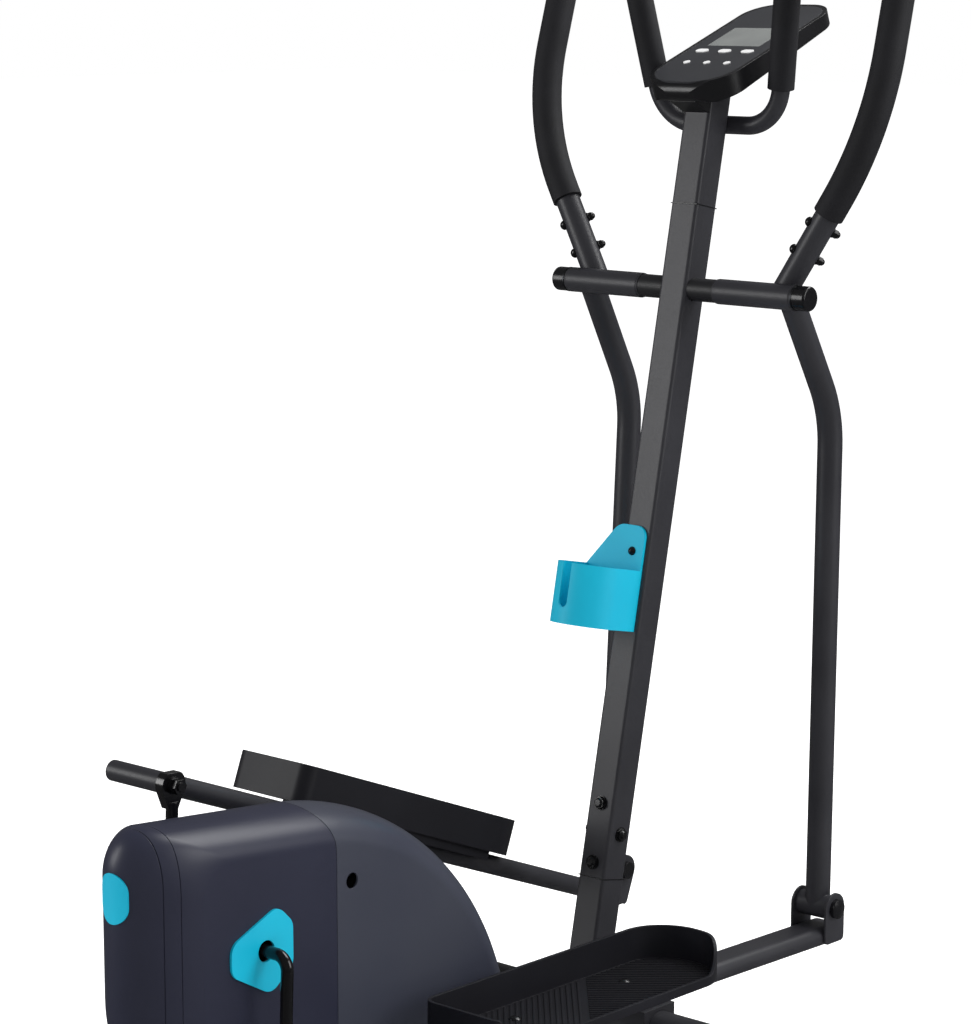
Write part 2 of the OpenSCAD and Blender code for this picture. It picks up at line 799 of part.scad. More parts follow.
module pedal_arm(s) {
    color(charcoal) on_link(s) difference() {
        union() {
            difference() {
                union() {
                    link_bar(s, link_w, link_h, link_start, link_front);
                    link_nose(s);
                }
                link_bar(s, link_w - 2 * link_wall, link_h - 2 * link_wall, link_start - 1,
                    link_front - link_wall);
            }
            cross_rod(s, link_sleeve_in, link_sleeve_out, link_sleeve_d);
            yoke_plate(s, yoke_in - yoke_t, yoke_in);
            yoke_plate(s, yoke_out, yoke_out + yoke_t);
            // weld between each plate and the rounded side of the tube
            for (y = [yoke_in + weld_in / 2, yoke_out - weld_in / 2])
                translate([link_run, s * y, 0]) cube([weld_l, weld_in + 1, weld_h], center = true);
        }
        cross_rod(s, link_sleeve_in - 1, link_sleeve_out + 1, pin_d + 2 * run_gap);
        cross_rod(s, link_sleeve_out - 10, link_sleeve_out + 1, link_sleeve_d - 5);
        translate([link_run, 0, link_rise])
            cross_rod(s, yoke_in - yoke_t - 1, yoke_out + yoke_t + 1, pivot_pin_d);
        for (x = pedal_bolts_at) translate([x, s * link_y(x), 0])
            cylinder(d = 8, h = 60, center = true, $fn = ROUND);
    }
}

// Bolt caps on the yoke, the cap in the rear sleeve and the pedal's bolts
module pedal_fittings(s) {
    color(black) on_link(s) {
        translate([link_run, 0, link_rise]) {
            cross_rod(s, yoke_out, yoke_out + yoke_t + 1.5, pivot_pin_d);
            cross_rod(s, yoke_out + yoke_t, yoke_out + yoke_t + 6, 24);
            translate([0, s * (yoke_out + yoke_t + 6), 0]) rotate([s * -90, 0, 0]) dome(24, 3);
            cross_rod(s, yoke_in - yoke_t - 1.5, yoke_in, pivot_pin_d);
            cross_rod(s, yoke_in - yoke_t - 6, yoke_in - yoke_t, 22);
        }
        cross_rod(s, link_sleeve_out - 8 + side_gap, link_sleeve_out + 0.3, link_sleeve_d - 5);
        translate([0, s * link_sleeve_out, 0]) rotate([s * -90, 0, 0]) button(link_sleeve_d, 5);
        for (x = pedal_bolts_at) translate([x, s * link_y(x), 0]) {
            translate([0, 0, -link_h / 2]) cylinder(d = 8,
                h = link_h / 2 + pedal_base + pedal_floor + 0.3, $fn = ROUND);
            translate([0, 0, pedal_base + pedal_floor]) button(15, 3);
            rotate([180, 0, 0]) translate([0, 0, link_h / 2]) bolt_head(8, 6);
        }
    }
}

// ---------- pedals ----------

pedal_bolts_at = [pedal_start + 110, pedal_start + pedal_l - 120];
pedal_toe_r = 58;
pedal_heel_r = 18;

module pedal_outline(inset) {
    r1 = pedal_heel_r - inset;
    r2 = pedal_toe_r - inset;
    a = pedal_start + pedal_heel_r;
    b = pedal_start + pedal_l - pedal_toe_r;
    y0 = pedal_in_y + inset;
    y1 = pedal_in_y + pedal_w - inset;
    translate([a, y0 + r1]) circle(r = r1, $fn = ROUND);
    translate([a, y1 - r1]) circle(r = r1, $fn = ROUND);
    translate([b, y0 + r2]) circle(r = r2, $fn = 96);
    translate([b, y1 - r2]) circle(r = r2, $fn = 96);
    translate([a, y0]) square([b - a, y1 - y0]);
    translate([a - r1, y0 + r1]) square([r1 + 1, y1 - y0 - 2 * r1]);
    translate([b - 1, y0 + r2]) square([r2 + 1, y1 - y0 - 2 * r2]);
}

module pedal(s) {
    end_y = pedal_in_y + pedal_w;
    color(dark_blue) on_link(s) mirror([0, s < 0 ? 1 : 0, 0]) difference() {
        translate([0, 0, pedal_base]) linear_extrude(pedal_high) pedal_outline(0);
        translate([0, 0, pedal_base + pedal_floor]) linear_extrude(pedal_high) pedal_outline(pedal_wall);
        // the outer wall is cut low, and the rim climbs towards the toe and the heel
        translate([pedal_start + 30, 0, pedal_base]) rotate([90, 0, 90]) linear_extrude(pedal_l) polygon([
            [end_y + 5, pedal_low], [end_y - 30, pedal_low], [end_y - 62, pedal_high + 1],
                [end_y + 5, pedal_high + 1]
        ]);
        for (x = pedal_bolts_at) translate([x, link_y(x), 0]) cylinder(d = 8, h = 60, $fn = ROUND);
    }
    color(dark_blue) on_link(s) mirror([0, s < 0 ? 1 : 0, 0]) difference() {
        // two saddles between the floor and the tube
        for (x = pedal_bolts_at) translate([x - 20, link_y(x) - 22, link_h / 2])
            cube([40, 44, pedal_base - link_h / 2]);
        for (x = pedal_bolts_at) translate([x, link_y(x), 0]) cylinder(d = 8, h = 60, $fn = ROUND);
        link_bar(1, link_w, link_h, link_start, link_front);
    }
}

// ---------- housing ----------

house_top_x = -541.7;
house_base = beam_top;
nose_x = -369;
nose_z = house_top - (nose_x - house_top_x) * house_fall
    - house_nose_r * sqrt(1 + house_fall * house_fall);
corner_z = 414;
corner_r = 40;
curl_x = -436.7;
curl_z = 275;

// Side outline with its rear end at x0, and its top and nose lowered by "low"
function side_outline(x0, low) =
    let (
        z_top = house_top - low - (x0 + corner_r - house_top_x) * house_fall,
        r = house_nose_r - low
    ) concat(
        arc([curl_x, curl_z], curl_x - x0, curl_z - house_base, 270, 180, 10),
        arc([x0 + corner_r, corner_z - low], corner_r, z_top - corner_z + low, 180, 90, 6),
        arc([nose_x, nose_z], r, r, 90 - atan(house_fall), asin((house_base - nose_z) / r), 18)
    );

// Rear end and crown at the distance y from the middle
function end_x(y) = house_rear + house_end * (1 - sqrt(1 - pow(y / (house_y + 0.5), 2)));
function crown(y) = crown_d * (1 - sqrt(1 - pow(y / house_y, 2)));
slice_t = 1;

// Closed body of the housing, moved in by w all round
module house_body(w) {
    hull() for (s = [-1, 1], f = [0, 0.35, 0.6, 0.78, 0.89, 0.96, 1])
        translate([0, s * f * (house_y - w - slice_t / 2), 0]) rotate([90, 0, 0])
            linear_extrude(slice_t, center = true)
                offset(delta = -w) polygon(side_outline(end_x(f * house_y), crown(f * house_y)));
}

module shell_solid() {
    difference() {
        house_body(0);
        house_body(house_wall);
        // axle holes, access holes and the opening over the beam
        on_crank() cross_rod(1, -90, 90, cover_hole);
        translate([access_x, 0, access_z]) cross_rod(1, -90, 90, access_d);
        translate([crank_x - 60, -42, house_base - 5]) cube([magnet_x - crank_x + 90, 84, 12]);
    }
}
cover_hole = 24;
access_x = -289.7;
access_z = 357;
access_d = 18;
seam_curl_x = 50;
seam_curl_z = 74;

module seam_front(gap) {
    // everything in front of the curved seam
    x = seam_x - seam_curl_x + gap;
    polygon(concat(
        [[200, 0], [200, 600], [x, 600], [x, house_top]],
        arc([x, house_top - seam_curl_z], seam_curl_x, seam_curl_z, 90, 0, 8),
        [[seam_x + gap, 0]]
    ));
}

module rear_shell(s) {
    color(dark_blue) intersection() {
        shell_solid();
        slab(s, 0.05, house_y + 5) difference() {
            translate([cap_seam_x, 0]) square([400, 600]);
            seam_front(0);
        }
    }
}

module front_shell(s) {
    color(shell_grey) intersection() {
        shell_solid();
        slab(s, 0.05, house_y + 5) seam_front(0.1);
    }
}

module rear_end_cap() {
    color(dark_blue) intersection() {
        shell_solid();
        translate([house_rear - 10, -house_y - 5, 0])
            cube([cap_seam_x - 0.1 - house_rear + 10, 2 * house_y + 10, 600]);
    }
}

badge_z = 391.5;
badge_h = 55;
badge_w = 40;
badge_t = 1.5;

module rear_badge() {
    function edge(g) = [
        for (i = [-8 : 8]) let (y = i * badge_w / 14)
            [house_rear + house_end - (house_end + g) * sqrt(1 - pow(y / (house_y + 0.5 + g), 2)), y]
    ];
    color(cyan) intersection() {
        translate([0, 0, badge_z - badge_h]) linear_extrude(2 * badge_h)
            polygon(concat(edge(badge_t), [for (i = [0 : 16]) edge(0.1)[16 - i]]));
        translate([house_rear, 0, badge_z]) rotate([90, 0, 90]) linear_extrude(60, center = true)
            stadium(badge_h - badge_w, badge_w / 2);
    }
}

module crank_covers() {
    color(cyan) for (s = [LEFT, RIGHT]) slab(s, house_y, house_y + cover_t) difference() {
        translate([crank_x, crank_z])
            rounded([[5, -29], [23, -15], [23, 17], [14, 26], [-34, 5], [-34, -7]], cover_corner);
        translate([crank_x, crank_z]) circle(d = cover_hole, $fn = ROUND);
    }
}
cover_t = 3;
cover_corner = 17;

screws_at = [[-497.7, 196], [-471.7, 180], [-251.7, 160], [-81.7, 150]];
module shell_screws() {
    color(black) for (s = [RIGHT, LEFT], p = screws_at) translate([p[0], s * house_y, p[1]])
        rotate([s * -90, 0, 0]) button(9, 1.5);
}

// ---------- drive ----------

shell_half = 28;
base_t = 4;
bracket_d = 44;
cup_flange = 2;

module drive_frame() {
    color(charcoal) difference() {
        union() {
            on_crank() cross_rod(1, -shell_half, shell_half, bracket_d);
            // two posts from the beam to the bracket shell
            for (y = [-14, 14]) translate([crank_x - 22, y - 2.5, beam_top])
                cube([44, 5, crank_z - beam_top]);
            // fork plates that carry the flywheel
            for (y = [-38, 38]) {
                translate([flywheel_x, 0, 0]) slab(1, y - 2, y + 2) {
                    rounded([[-18, beam_top + 6], [18, beam_top + 6], [10, flywheel_z],
                        [-10, flywheel_z]], 6);
                }
            }
            translate([flywheel_x - 24, -40, beam_top]) cube([magnet_x - flywheel_x + 44, 80, base_t]);
            translate([crank_x - 40, -beam_w / 2, beam_top])
                cube([magnet_x - crank_x + 60, beam_w, base_t]);
            translate([flywheel_x, 0, flywheel_z]) cross_rod(1, -48, 48, flywheel_axle_d);
            // stalk for the idler
            translate([idler_x, 0, 0]) slab(1, 12, 16) {
                rounded([[-8, beam_top + 6], [8, beam_top + 6], [3, idler_z], [-3, idler_z]], 6);
            }
            translate([idler_x, 0, idler_z]) cross_rod(1, 13, belt_y + belt_w / 2 + 4, 8);
            // stalk for the magnet arm
            translate([magnet_x, 0, 0]) slab(-1, magnet_half - flywheel_y + side_gap,
                magnet_half - flywheel_y + side_gap + 4)
                rounded([[-10, beam_top + 6], [10, beam_top + 6], [0, magnet_z]], 6);
            translate([magnet_x, 0, magnet_z])
                cross_rod(-1, -magnet_half - flywheel_y - 2, magnet_half - flywheel_y + side_gap + 1, 8);
        }
        on_crank() cross_rod(1, -shell_half - 1, shell_half + 1, bracket_d - 8);
    }
}

module bearing_cups() {
    color(steel) on_crank() for (s = [LEFT, RIGHT]) {
        ring(s, shell_half - 12, shell_half, bracket_d - 8, crank_d + 4 + 2 * run_gap);
        ring(s, shell_half, shell_half + cup_flange, bracket_d + 2, crank_d + 4 + 2 * run_gap);
    }
}

module drive_pulley() {
    color("#55585e") on_crank() {
        difference() {
            cross_rod(1, belt_y + 8, belt_y + 14, 2 * pulley_r);
            cross_rod(1, belt_y, belt_y + 20, crank_d + 4);
            for (a = [0 : 60 : 300]) rotate([0, a, 0]) translate([62, 0, 0])
                cross_rod(1, belt_y, belt_y + 20, 42);
        }
        ring(1, belt_y - belt_w / 2, belt_y + 14, 2 * pulley_r, 2 * pulley_r - 14);
    }
}

// Tangent outline round both pulleys, moved out by g
module belt_outline(g) {
    r1 = pulley_r + g;
    r2 = small_pulley_r + g;
    c1 = crank_at;
    c2 = [flywheel_x, flywheel_z];
    d = c2 - c1;
    base = atan2(d[1], d[0]);
    tilt = acos((r1 - r2) / norm(d));
    translate(c1) circle(r = r1, $fn = 128);
    translate(c2) circle(r = r2, $fn = 96);
    polygon([for (t = [[base + tilt, 0], [base - tilt, 0], [base - tilt, 1], [base + tilt, 1]])
        (t[1] == 0 ? c1 : c2) + (t[1] == 0 ? r1 : r2) * [cos(t[0]), sin(t[0])]]);
}

module drive_belt() {
    color(foam_black) slab(1, belt_y - belt_w / 2, belt_y + belt_w / 2) difference() {
        belt_outline(belt_gap + belt_t);
        belt_outline(belt_gap);
    }
}

flywheel_y = -10;
module flywheel() {
    color(steel) translate([flywheel_x, 0, flywheel_z]) {
        difference() {
            union() {
                cross_rod(1, flywheel_y - flywheel_w / 2, flywheel_y + flywheel_w / 2, 2 * flywheel_r);
                cross_rod(1, flywheel_y - flywheel_w / 2 - 6, belt_y + belt_w / 2 + 3,
                    2 * small_pulley_r);
            }
            for (s = [-1, 1]) translate([0, flywheel_y + s * flywheel_w / 2, 0]) rotate([90, 0, 0])
                difference() {
                cylinder(r = flywheel_r - 18, h = 14, center = true, $fn = 96);
                cylinder(r = 30, h = 16, center = true, $fn = ROUND);
            }
            cross_rod(1, -60, 60, flywheel_axle_d + 2 * run_gap);
        }
    }
}

idler_r = 14;
idler_x = -301.7;
belt_gap = 0.3;
belt_run = [flywheel_x - crank_x, flywheel_z - crank_z];
belt_down = atan2(belt_run[1], belt_run[0]) - acos((pulley_r - small_pulley_r) / norm(belt_run));
idler_z = crank_z + (pulley_r + belt_t + 2 * belt_gap + idler_r
    - cos(belt_down) * (idler_x - crank_x)) / sin(belt_down);
module idler_roller() {
    color("#55585e") translate([idler_x, 0, idler_z])
        ring(1, belt_y - belt_w / 2, belt_y + belt_w / 2, 2 * idler_r, 8 + 2 * run_gap);
}

magnet_x = -76.7;
magnet_z = 150;
module magnet_arm() {
    color(charcoal) difference() {
        union() {
            translate([magnet_x, 0, magnet_z])
                cross_rod(1, flywheel_y - magnet_half, flywheel_y + magnet_half, 16);
            for (y = [flywheel_y - magnet_half, flywheel_y + magnet_half - 4]) slab(1, y, y + 4)
                rounded([[magnet_x, magnet_z], [magnet_x - 24, magnet_z + 48]], 7);
        }
        translate([magnet_x, 0, magnet_z]) cross_rod(1, -40, 40, 8 + 2 * run_gap);
    }
}
magnet_half = flywheel_w / 2 + 7;

// ---------- floor frame ----------

floor_z = floor_d / 2 + 14;
beam_rear = rear_floor_x - 35;
beam_front = front_floor_x + 40;

module main_beam() {
    color(charcoal) difference() {
        union() {
            difference() {
                translate([beam_rear, 0, beam_top - beam_h / 2]) rotate([90, 0, 90])
                    linear_extrude(beam_front - beam_rear) rounded_box(beam_w, beam_h, 4);
                translate([beam_rear + 3, 0, beam_top - beam_h / 2]) rotate([90, 0, 90])
                    linear_extrude(beam_front - beam_rear - 6) rounded_box(beam_w - 5, beam_h - 5, 2);
            }
            for (x = [rear_floor_x, front_floor_x]) translate([x - 30, -45, floor_z + 4])
                cube([60, 90, beam_top - beam_h - floor_z + 1]);
        }
        for (x = [rear_floor_x, front_floor_x]) {
            translate([x, 0, floor_z]) cross_rod(1, -120, 120, floor_d);
            translate([x, 0, 0]) for (y = [-32, 32]) translate([0, y, 0])
                cylinder(d = bolt_hole, h = beam_top, $fn = ROUND);
        }
    }
}

module stabiliser(x) {
    color(charcoal) translate([x, 0, floor_z]) difference() {
        cross_rod(1, -floor_l / 2, floor_l / 2, floor_d);
        cross_rod(1, -floor_l / 2 - 1, floor_l / 2 + 1, floor_d - 4);
        for (y = [-32, 32]) translate([0, y, -60]) cylinder(d = bolt_hole, h = 120, $fn = ROUND);
    }
}

module stabiliser_bolts() {
    top = beam_top - beam_h + 5;
    foot = floor_z - floor_d / 2 - 3;
    color(steel) for (x = [rear_floor_x, front_floor_x], y = [-32, 32]) translate([x, y, 0]) {
        translate([0, 0, foot]) cylinder(d = bolt_d, h = top - foot + 1, $fn = ROUND);
        translate([0, 0, top]) acorn_nut(bolt_d);
        translate([0, 0, foot]) cylinder(d = 18, h = 3, $fn = ROUND);
    }
}

cap_l = 46;
module end_cap(s, x, wheeled) {
    translate([x, 0, 0]) difference() {
        union() {
            translate([0, 0, floor_z]) cross_rod(s, floor_l / 2 - 20, floor_l / 2, floor_d + 6);
            translate([0, 0, floor_z]) cross_rod(s, floor_l / 2, floor_l / 2 + cap_l - 10, floor_d + 6);
            translate([0, s * (floor_l / 2 + cap_l - 10), floor_z]) rotate([s * -90, 0, 0])
                dome(floor_d + 6, 12);
            translate([-22, s > 0 ? floor_l / 2 - 20 : -floor_l / 2 - cap_l + 14, 0])
                cube([44, cap_l + 6, floor_z]);
        }
        translate([0, 0, floor_z]) cross_rod(s, floor_l / 2 - 21, floor_l / 2, floor_d);
        if (wheeled) translate([wheel_at, 0, wheel_z]) {
            cross_rod(s, wheel_y - 9, wheel_y + 9, 2 * wheel_r + 6);
        }
    }
    if (wheeled) translate([x + wheel_at, 0, wheel_z]) cross_rod(s, wheel_y - 12, wheel_y + 12, 8);
}
wheel_at = 30;
wheel_z = wheel_r + 4;
wheel_y = floor_l / 2 + 12;

module stabiliser_end_caps() {
    color(black) for (s = [LEFT, RIGHT]) {
        end_cap(s, rear_floor_x, false);
        end_cap(s, front_floor_x, true);
    }
}

module transport_wheel(s) {
    color(foam_black) translate([front_floor_x + wheel_at, 0, wheel_z])
        ring(s, wheel_y - 8.5, wheel_y + 8.5, 2 * wheel_r, 8 + 2 * run_gap);
}

// ---------- bottle holder ----------

cup_off_y = 29;
holder_screw_y = 2.9;
holder_rim = 22.8;
holder_top = 31.7;
holder_corner = 14;
holder_shoulder = 22;
holder_slope = 50;
slot_w = 14;
slot_h = 55;
slot_shift = 5;
holder_back = 4;
screw_d = 5;
screw_hole = screw_d + 0.4;
function holder_s() = mast_s(holder_z) - mast_side / 2 * tan(mast_lean);

module holder_screw_hole() {
    translate([-mast_side / 2, holder_screw_y, holder_s()]) rotate([0, 90, 0])
        cylinder(d = screw_hole, h = 3 * mast_wall, center = true, $fn = ROUND);
}

module holder_screw() {
    translate([-mast_side / 2 + mast_wall, holder_screw_y, holder_s()]) rotate([0, -90, 0]) {
        cylinder(d = screw_d, h = mast_wall + holder_back + 1, $fn = ROUND);
        translate([0, 0, mast_wall + holder_back]) button(11, 4);
    }
}

// Cup seen from above, round in front and square at the mast, moved in by w
module cup_plan(w) {
    translate([-cup_r, cup_off_y]) circle(r = cup_r - w, $fn = 96);
    translate([-cup_r, cup_off_y - cup_r + w]) square([cup_r - w, 2 * (cup_r - w)]);
}

// Back plate seen from the user, with the shoulder that falls to the rim
module holder_plate() {
    right = cup_off_y - cup_r;
    flat_end = holder_corner + 4;
    polygon(concat(
        [[-holder_rim - cup_h, cup_off_y + cup_r], [-holder_rim - cup_h, right]],
        [for (p = arc([right + holder_corner, holder_top - holder_corner], holder_corner,
            holder_corner, 180, 90, 8))
            [p[1], p[0]]],
        [for (p = arc([flat_end, holder_top - holder_shoulder], holder_shoulder, holder_shoulder, 90,
            90 - holder_slope, 8))
            [p[1], p[0]]],
        [[-holder_rim, cup_off_y + cup_r]]
    ));
}

module bottle_holder() {
    z0 = holder_s() - holder_rim;
    x0 = -mast_side / 2;
    front = x0 - 2 * cup_r;
    slot_y = cup_off_y + slot_shift;
    color(cyan) on_mast() difference() {
        union() {
            translate([x0, 0, z0 - cup_h]) linear_extrude(cup_h) cup_plan(0);
            translate([x0, 0, holder_s()]) rotate([0, -90, 0]) linear_extrude(holder_back) holder_plate();
        }
        translate([x0, 0, z0 - cup_h + cup_wall]) linear_extrude(cup_h) difference() {
            cup_plan(cup_wall);
            translate([-holder_back, -cup_r]) square([holder_back, 4 * cup_r]);
        }
        translate([front - 1, slot_y - slot_w / 2, z0 - slot_h + slot_w / 2]) cube([20, slot_w, slot_h]);
        translate([front - 1, slot_y, z0 - slot_h + slot_w / 2]) rotate([0, 90, 0])
            cylinder(d = slot_w, h = 20, $fn = ROUND);
        translate([x0 - holder_back - 1, holder_screw_y, holder_s()]) rotate([0, 90, 0])
            cylinder(d = screw_hole, h = holder_back + 2, $fn = ROUND);
    }
}

// ---------- fixed handlebar ----------

bar_x = mast_x + (bar_z - axle_z) * tan(mast_lean) + (mast_side + bar_d) / 2 / cos(mast_lean);
bar_knee_y = 88;
bar_end_x = bar_x - 33;
bar_bend = 55;
bar_bolt_y = 10;
bar_bolt_hole = handle_bolt_d + 0.4;
bar_s = (bar_x - mast_x) * sin(mast_lean) + (bar_z - axle_z) * cos(mast_lean);
function bar_path() = [
    [bar_end_x, bar_end_y, bar_end_z], [bar_x, bar_knee_y, bar_z],
    [bar_x, -bar_knee_y, bar_z], [bar_end_x, -bar_end_y, bar_end_z]
];

// Centres of the two bolts in the bar, pointing away from the mast
module at_bar_bolts() {
    on_mast() for (y = [-bar_bolt_y, bar_bolt_y]) translate([(mast_side + bar_d) / 2, y, bar_s])
        rotate([0, 90, 0]) children();
}

module bar_bolts() {
    at_bar_bolts() {
        translate([0, 0, -bar_d / 2 - 4 * mast_wall])
            cylinder(d = handle_bolt_d, h = bar_d + 4 * mast_wall + saddle_t, $fn = ROUND);
        translate([0, 0, bar_d / 2 + saddle_t]) button(2 * handle_bolt_d, 3);
    }
    // washers shaped to the round bar
    difference() {
        at_bar_bolts() cylinder(d = 2 * handle_bolt_d, h = bar_d / 2 + saddle_t, $fn = ROUND);
        translate([bar_x, 0, bar_z]) cross_rod(1, -mast_side, mast_side, bar_d + 0.02);
    }
}

module fixed_handlebar() {
    color(charcoal) difference() {
        bent_tube(bar_path(), bar_bend, bar_d, 1.5);
        at_bar_bolts() cylinder(d = bar_bolt_hole, h = 2 * bar_d, center = true, $fn = ROUND);
    }
}

module handlebar_grips() {
    color(foam_black) for (s = [LEFT, RIGHT]) {
        top = sided(bar_path()[0], s);
        knee = sided(bar_path()[1], s);
        up = unit(top - knee);
        u = square_to(up);
        start = knee + up * (setback(bar_path(), 1, bar_bend) + 1);
        difference() {
            union() {
                rod(start, top, bar_grip_d);
                axes_at(u, cross(up, u), up, top) dome(bar_grip_d, 9);
            }
            rod(start - up, top, bar_d);
        }
    }
}

// ---------- console ----------

console_back = 70.5;
console_x = mast_x + (mast_top_z - axle_z) * tan(mast_lean) - console_back;
console_z = mast_top_z;
console_near_r = 50;
console_far_r = 40;
console_wall = 3;
rim_w = 6;
face_t = 3;
face_gap = 0.15;
key_gap = 0.4;
screen_l = 60;
screen_w = 80;
screen_x = 122;
neck_back = 30;
neck_down = 27;
module on_console() translate([console_x, 0, console_z]) rotate([0, -console_tilt, 0]) children();

module console_outline(inset) {
    near = console_near_r - inset;
    far = console_far_r - inset;
    half = console_y - inset;
    a = console_near_r;
    b = console_l - console_far_r;
    for (s = [-1, 1]) {
        translate([a, s * (half - near)]) circle(r = near, $fn = 96);
        translate([b, s * (half - far)]) circle(r = far, $fn = 96);
    }
    translate([a, -half]) square([b - a, 2 * half]);
    translate([a - near, near - half]) square([near + 1, 2 * (half - near)]);
    translate([b - 1, far - half]) square([far + 1, 2 * (half - far)]);
}

// Side view, thicker and rounded at the nearer edge
module console_side(inset) {
    r = console_t / 2;
    translate([r, -r]) circle(r = r - inset, $fn = ROUND);
    polygon([
        [r, 0], [console_l - inset, 0],
        [console_l - inset, inset - console_far_t], [r, inset - console_t]
    ]);
}

// Place where the console's underside crosses the mast's rear face, along the mast
function neck_s() =
    let (
        fall = (console_t - console_far_t) / (console_l - console_t / 2),
        turn = console_tilt + mast_lean + atan(fall),
        p = [console_x - mast_x + console_t * sin(console_tilt),
            console_z - axle_z - console_t * cos(console_tilt)],
        n = p[0] * cos(mast_lean) - p[1] * sin(mast_lean)
    ) p[0] * sin(mast_lean) + p[1] * cos(mast_lean) - (n + mast_side / 2) * tan(turn);

module console_neck() {
    s = neck_s();
    turn = console_tilt + mast_lean;
    back = -mast_side / 2 - neck_back;
    on_mast() rotate([90, 0, 0]) linear_extrude(mast_side, center = true) {
        // wedge behind the mast
        polygon([
            [back, s - neck_back * tan(turn)], [-mast_side / 2, s - neck_down],
            [-mast_side / 2, s + 4], [back, s - neck_back * tan(turn) + 4]
        ]);
        // packing on top of the tube
        polygon([
            [0, mast_s(mast_top_z)], [mast_side / 2, mast_s(mast_top_z)],
            [mast_side / 2, s + mast_side * tan(turn) + 4], [0, s + mast_side / 2 * tan(turn) + 4]
        ]);
    }
}

module console_shell() {
    color(black) difference() {
        union() {
            on_console() difference() {
                intersection() {
                    translate([0, 0, -console_t - 1]) linear_extrude(console_t + 1) console_outline(0);
                    slab(1, -console_y, console_y) console_side(0);
                }
                intersection() {
                    translate([0, 0, -console_t]) linear_extrude(2 * console_t)
                        console_outline(rim_w + console_wall);
                    slab(1, -console_y, console_y) console_side(console_wall);
                }
                translate([0, 0, -face_t]) linear_extrude(2 * face_t) console_outline(rim_w - face_gap);
            }
            console_neck();
        }
        on_mast() translate([0, 0, neck_s() - mast_side])
            linear_extrude(mast_s(mast_top_z) - neck_s() + mast_side)
            rounded_box(mast_side, mast_side, mast_corner);
    }
}

upper_key_x = 104;
lower_key_x = 66;
upper_key_y = 35;
lower_key_y = 31;
function key_place(i) = [i < 3 ? upper_key_x : lower_key_x,
    (i % 3 - 1) * (i < 3 ? upper_key_y : lower_key_y)];

module key_shape(i, grow) {
    if (i < 3) {
        stadium(8, 5 + grow);
    } else {
        circle(r = 4.5 + grow, $fn = ROUND);
    }
}

module console_face() {
    color("#3f4043") on_console() difference() {
        translate([0, 0, -face_t]) linear_extrude(face_t) console_outline(rim_w);
        translate([screen_x, -screen_w / 2, -1.5]) cube([screen_l, screen_w, 3]);
        for (i = [0 : 5]) translate(concat(key_place(i), -face_t - 1)) linear_extrude(face_t + 2)
            key_shape(i, key_gap);
    }
}

module console_screen() {
    color("#8c8c8c") on_console() translate([screen_x, -screen_w / 2, -1.5])
        cube([screen_l, screen_w, 1.5]);
}

module key(i) {
    color("#e8e8e8") on_console() translate(concat(key_place(i), -face_t)) linear_extrude(face_t + 1)
        key_shape(i, 0);
}

main_beam();
stabiliser(front_floor_x);  // front_stabiliser
stabiliser(rear_floor_x);  // rear_stabiliser
stabiliser_bolts();
stabiliser_end_caps();
transport_wheel(LEFT);  // left_transport_wheel
transport_wheel(RIGHT);  // right_transport_wheel
mast_base();
lower_mast();
upper_mast();
mast_bolts();
crossbar_axle();
axle_washers();
axle_caps();
swing_arm(LEFT);  // left_swing_arm
swing_arm(RIGHT);  // right_swing_arm
arm_bushes(LEFT);  // left_arm_bushes
arm_bushes(RIGHT);  // right_arm_bushes
handle(LEFT);  // left_handle
handle(RIGHT);  // right_handle
handle_grip(LEFT);  // left_handle_grip
handle_grip(RIGHT);  // right_handle_grip
arm_bolts(LEFT);  // left_arm_bolts
arm_bolts(RIGHT);  // right_arm_bolts
pedal_arm(LEFT);  // left_pedal_arm
pedal_arm(RIGHT);  // right_pedal_arm
pedal(LEFT);  // left_pedal
pedal(RIGHT);  // right_pedal
pedal_fittings(LEFT);  // left_pedal_fittings
pedal_fittings(RIGHT);  // right_pedal_fittings
crank();
crank_pins();
bearing_cups();
drive_pulley();
drive_belt();
flywheel();
idler_roller();
magnet_arm();
drive_frame();
rear_shell(LEFT);  // left_rear_shell
rear_shell(RIGHT);  // right_rear_shell
front_shell(LEFT);  // left_front_shell
front_shell(RIGHT);  // right_front_shell
rear_end_cap();
rear_badge();
crank_covers();
shell_screws();
bottle_holder();
fixed_handlebar();
handlebar_grips();
console_shell();
console_face();
console_screen();
key(2);  // left_upper_key
key(1);  // middle_upper_key
key(0);  // right_upper_key
key(5);  // left_lower_key
key(4);  // middle_lower_key
key(3);  // right_lower_key
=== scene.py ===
# %% [markdown]
# # A front-mast elliptical trainer
# The steel, plastic and mechanism of this trainer come from its CAD model. This lesson dresses it: it
# gives each part the finish of the real material, makes the moulded parts again with fine smooth forms, and
# sets a camera, a pale studio floor and soft lights.

# %% Load the frame
import json
import math

